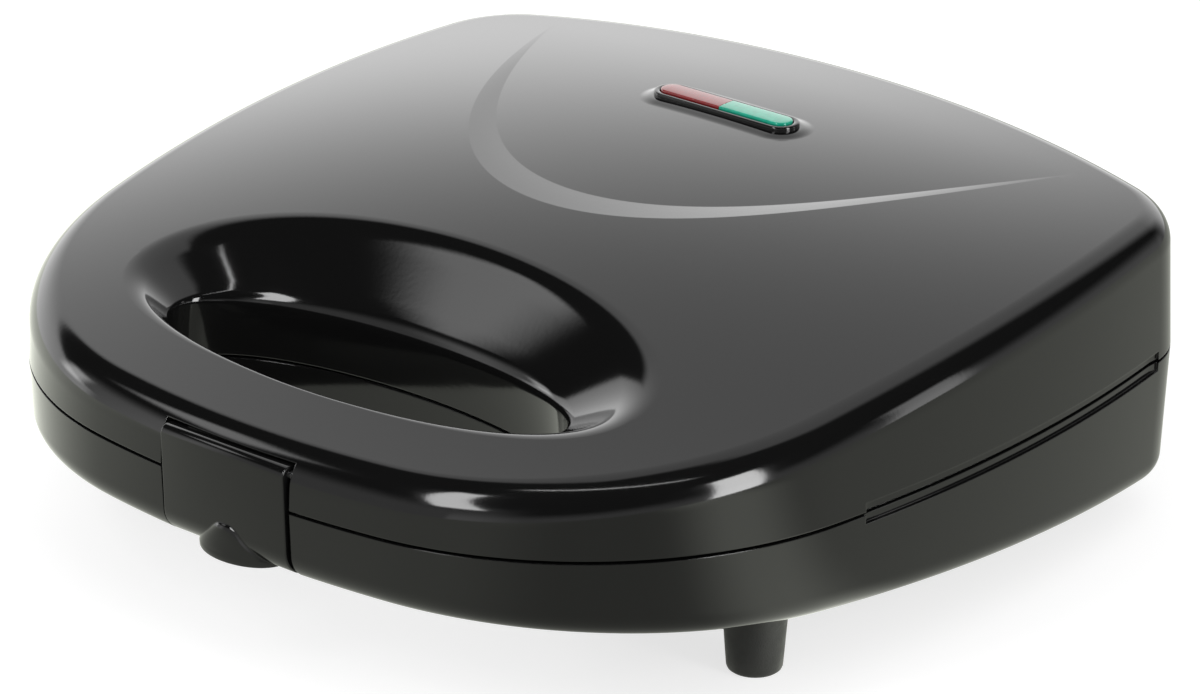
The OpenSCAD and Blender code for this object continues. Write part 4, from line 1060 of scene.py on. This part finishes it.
def studio():
    """The world: plain light, and in the gloss a dark room with the photo's lights.

    They are a tall panel at the back left, soft boxes at the right and in front, a
    strip at the back right, low glows and small lights at the front left, and a
    thin tube overhead.
    """
    w = bpy.data.worlds.new("studio")
    bpy.context.scene.world = w
    w.use_nodes = True
    nt = w.node_tree
    nt.nodes.clear()
    g = Graph(nt)
    d = g.add("ShaderNodeSeparateXYZ", Vector=g.add("ShaderNodeTexCoord").outputs["Generated"])
    az = g.math("DEGREES", g.math("ARCTAN2", d.outputs["X"], d.outputs["Y"]))
    el = g.math("DEGREES", g.math("ARCSINE", d.outputs["Z"]))
    # tall panel: its left edge leans in with height and its right edge leans out
    left = g.ramp(g.minus(az, g.ramp(el, 8.0, 36.0, -118.0, -64.0, False)), -4.0, 4.0)
    right = g.ramp(g.minus(az, g.ramp(el, 20.0, 62.0, 3.0, 27.0, False)), -12.0, 10.0, 1.0, 0.0)
    top = g.ramp(el, 73.0, 81.0, 1.0, 0.0)
    low = g.ramp(el, 10.0, 50.0, 1.0, 0.0)
    side = g.ramp(g.math("ABSOLUTE", g.plus(az, 58.0)), 15.0, 75.0, 1.0, 0.35)
    panel = g.mul(g.plus(0.86, g.mul(low, side, 1.35)), left, right, top)
    # faint glow near the horizon
    glow = g.mul(g.ramp(el, 4.0, 24.0, 0.55, 0.0), g.ramp(az, 0.0, 20.0))
    turn = g.math("FLOORED_MODULO", az, 360.0)
    glow = g.plus(glow, g.mul(g.ramp(el, 18.0, 40.0, 0.55, 0.0), g.band(turn, 200.0, 35.0, 20.0)))
    # soft box at the right, a strip behind it and a tilted box in front
    box = g.mul(g.band(az, 96.0, 7.8, 2.0), g.band(el, 20.0, 22.0, 3.0), 13.0)
    strip = g.mul(g.band(az, 54.0, 4.0, 3.0), g.band(el, 8.0, 16.0, 6.0), 2.2)
    front = g.mul(g.band(g.minus(turn, g.mul(el, 0.75)), 159.0, 8.0, 2.0), g.band(el, 46.0, 17.0, 3.0), 10.5)
    # low glow and two small lights in front at the left
    glow = g.plus(glow, g.mul(g.ramp(el, 18.0, 34.0, 0.75, 0.0), g.band(az, -122.0, 16.0, 14.0)))
    spot = g.mul(g.band(az, -107.0, 5.0, 6.0), g.band(el, 15.0, 7.0, 6.0), 3.2)
    streak = g.mul(g.band(az, -114.0, 10.0, 8.0), g.band(el, 44.0, 5.0, 5.0), 2.4)
    # thin tube overhead, a little in front
    high = g.math("MAXIMUM", d.outputs["Z"], 0.05)
    u, v = (g.math("DIVIDE", d.outputs[k], high) for k in "XY")
    bow = g.math("POWER", g.math("ABSOLUTE", g.minus(u, 0.1)), 2.0)
    tube = g.mul(g.band(g.minus(v, g.mul(bow, 0.5)), -0.185, 0.012, 0.01), g.band(u, 0.13, 0.34, 0.1), 9.0)
    total = g.plus(panel, glow, box, strip, front, spot, streak, tube)
    gloss = g.add("ShaderNodeBackground", Color=(1, 1, 1, 1), Strength=total)
    plain = g.add("ShaderNodeBackground", Color=(1, 1, 1, 1), Strength=0.8)
    white = g.add("ShaderNodeBackground", Color=(1, 1, 1, 1), Strength=1.0)
    lp = g.add("ShaderNodeLightPath")
    s = g.mix(lp.outputs["Is Glossy Ray"], plain.outputs[0], gloss.outputs[0])
    s = g.mix(lp.outputs["Is Transmission Ray"], s, white.outputs[0])
    s = g.mix(lp.outputs["Is Camera Ray"], s, white.outputs[0])
    g.put(g.add("ShaderNodeOutputWorld").inputs["Surface"], s)


def lamp(name, at, to, size, power):
    """An area light that lights and shades the part but is not seen in its gloss."""
    li = bpy.data.lights.new(name, "AREA")
    li.shape = "RECTANGLE"
    li.size, li.size_y = size
    li.energy = power
    ob = bpy.data.objects.new(name, li)
    bpy.context.scene.collection.objects.link(ob)
    ob.location = at
    ob.rotation_euler = (Vector(to) - Vector(at)).to_track_quat("-Z", "Y").to_euler()
    ob.visible_glossy = False


me = bpy.data.meshes.new("floor")
me.from_pydata([(-6, -6, 0), (6, -6, 0), (6, 6, 0), (-6, 6, 0)], [], [(0, 1, 2, 3)])
floor = bpy.data.objects.new("floor", me)
bpy.context.scene.collection.objects.link(floor)
me.materials.append(floor_material())
studio()
lamp("key", (-0.5, -1.4, 1.6), (0, 0, 0.05), (0.6, 0.9), 8)
lamp("fill", (1.6, 0.0, 0.7), (0, 0, 0.05), (0.4, 0.8), 6)

# ------------------------------------------------------------------ camera
PHOTO_W, PHOTO_H, SENSOR = 1200, 694, 36
# turn, height and roll in degrees, and the focal length in pixels
AZ, EL, ROLL_DEG, F_PX = 40.237, 22.664, 0.369, 5233.9
# pixel of the front of the parting plane, and its distance in mm
CX, CY = 222.032, 489.589
DIST = F_PX * 0.21364


def make_camera():
    """The photo's camera."""
    a, e, r = (math.radians(v) for v in (AZ, EL, ROLL_DEG))
    right = Vector((math.cos(a), math.sin(a), 0))
    up = Vector((-math.sin(a) * math.sin(e), math.cos(a) * math.sin(e), math.cos(e)))
    fwd = Vector((-math.sin(a) * math.cos(e), math.cos(a) * math.cos(e), -math.sin(e)))
    r2 = math.cos(r) * right + math.sin(r) * up
    u2 = -math.sin(r) * right + math.cos(r) * up
    off_x, off_y = (CX - PHOTO_W / 2) / F_PX, (PHOTO_H / 2 - CY) / F_PX
    c = -(fwd * DIST + off_x * DIST * r2 + off_y * DIST * u2)
    cam = bpy.data.cameras.new("camera")
    cam.sensor_fit = "HORIZONTAL"
    cam.sensor_width = SENSOR
    cam.lens = F_PX * SENSOR / PHOTO_W
    cam.clip_start, cam.clip_end = 0.05, 50
    ob = bpy.data.objects.new("camera", cam)
    bpy.context.scene.collection.objects.link(ob)
    m = Matrix((r2, u2, -fwd)).transposed().to_4x4()
    m.translation = Vector(part(*c))
    ob.matrix_world = m
    bpy.context.scene.camera = ob


make_camera()
bpy.context.scene.view_settings.view_transform = "Standard"

bpy.context.view_layer.update()
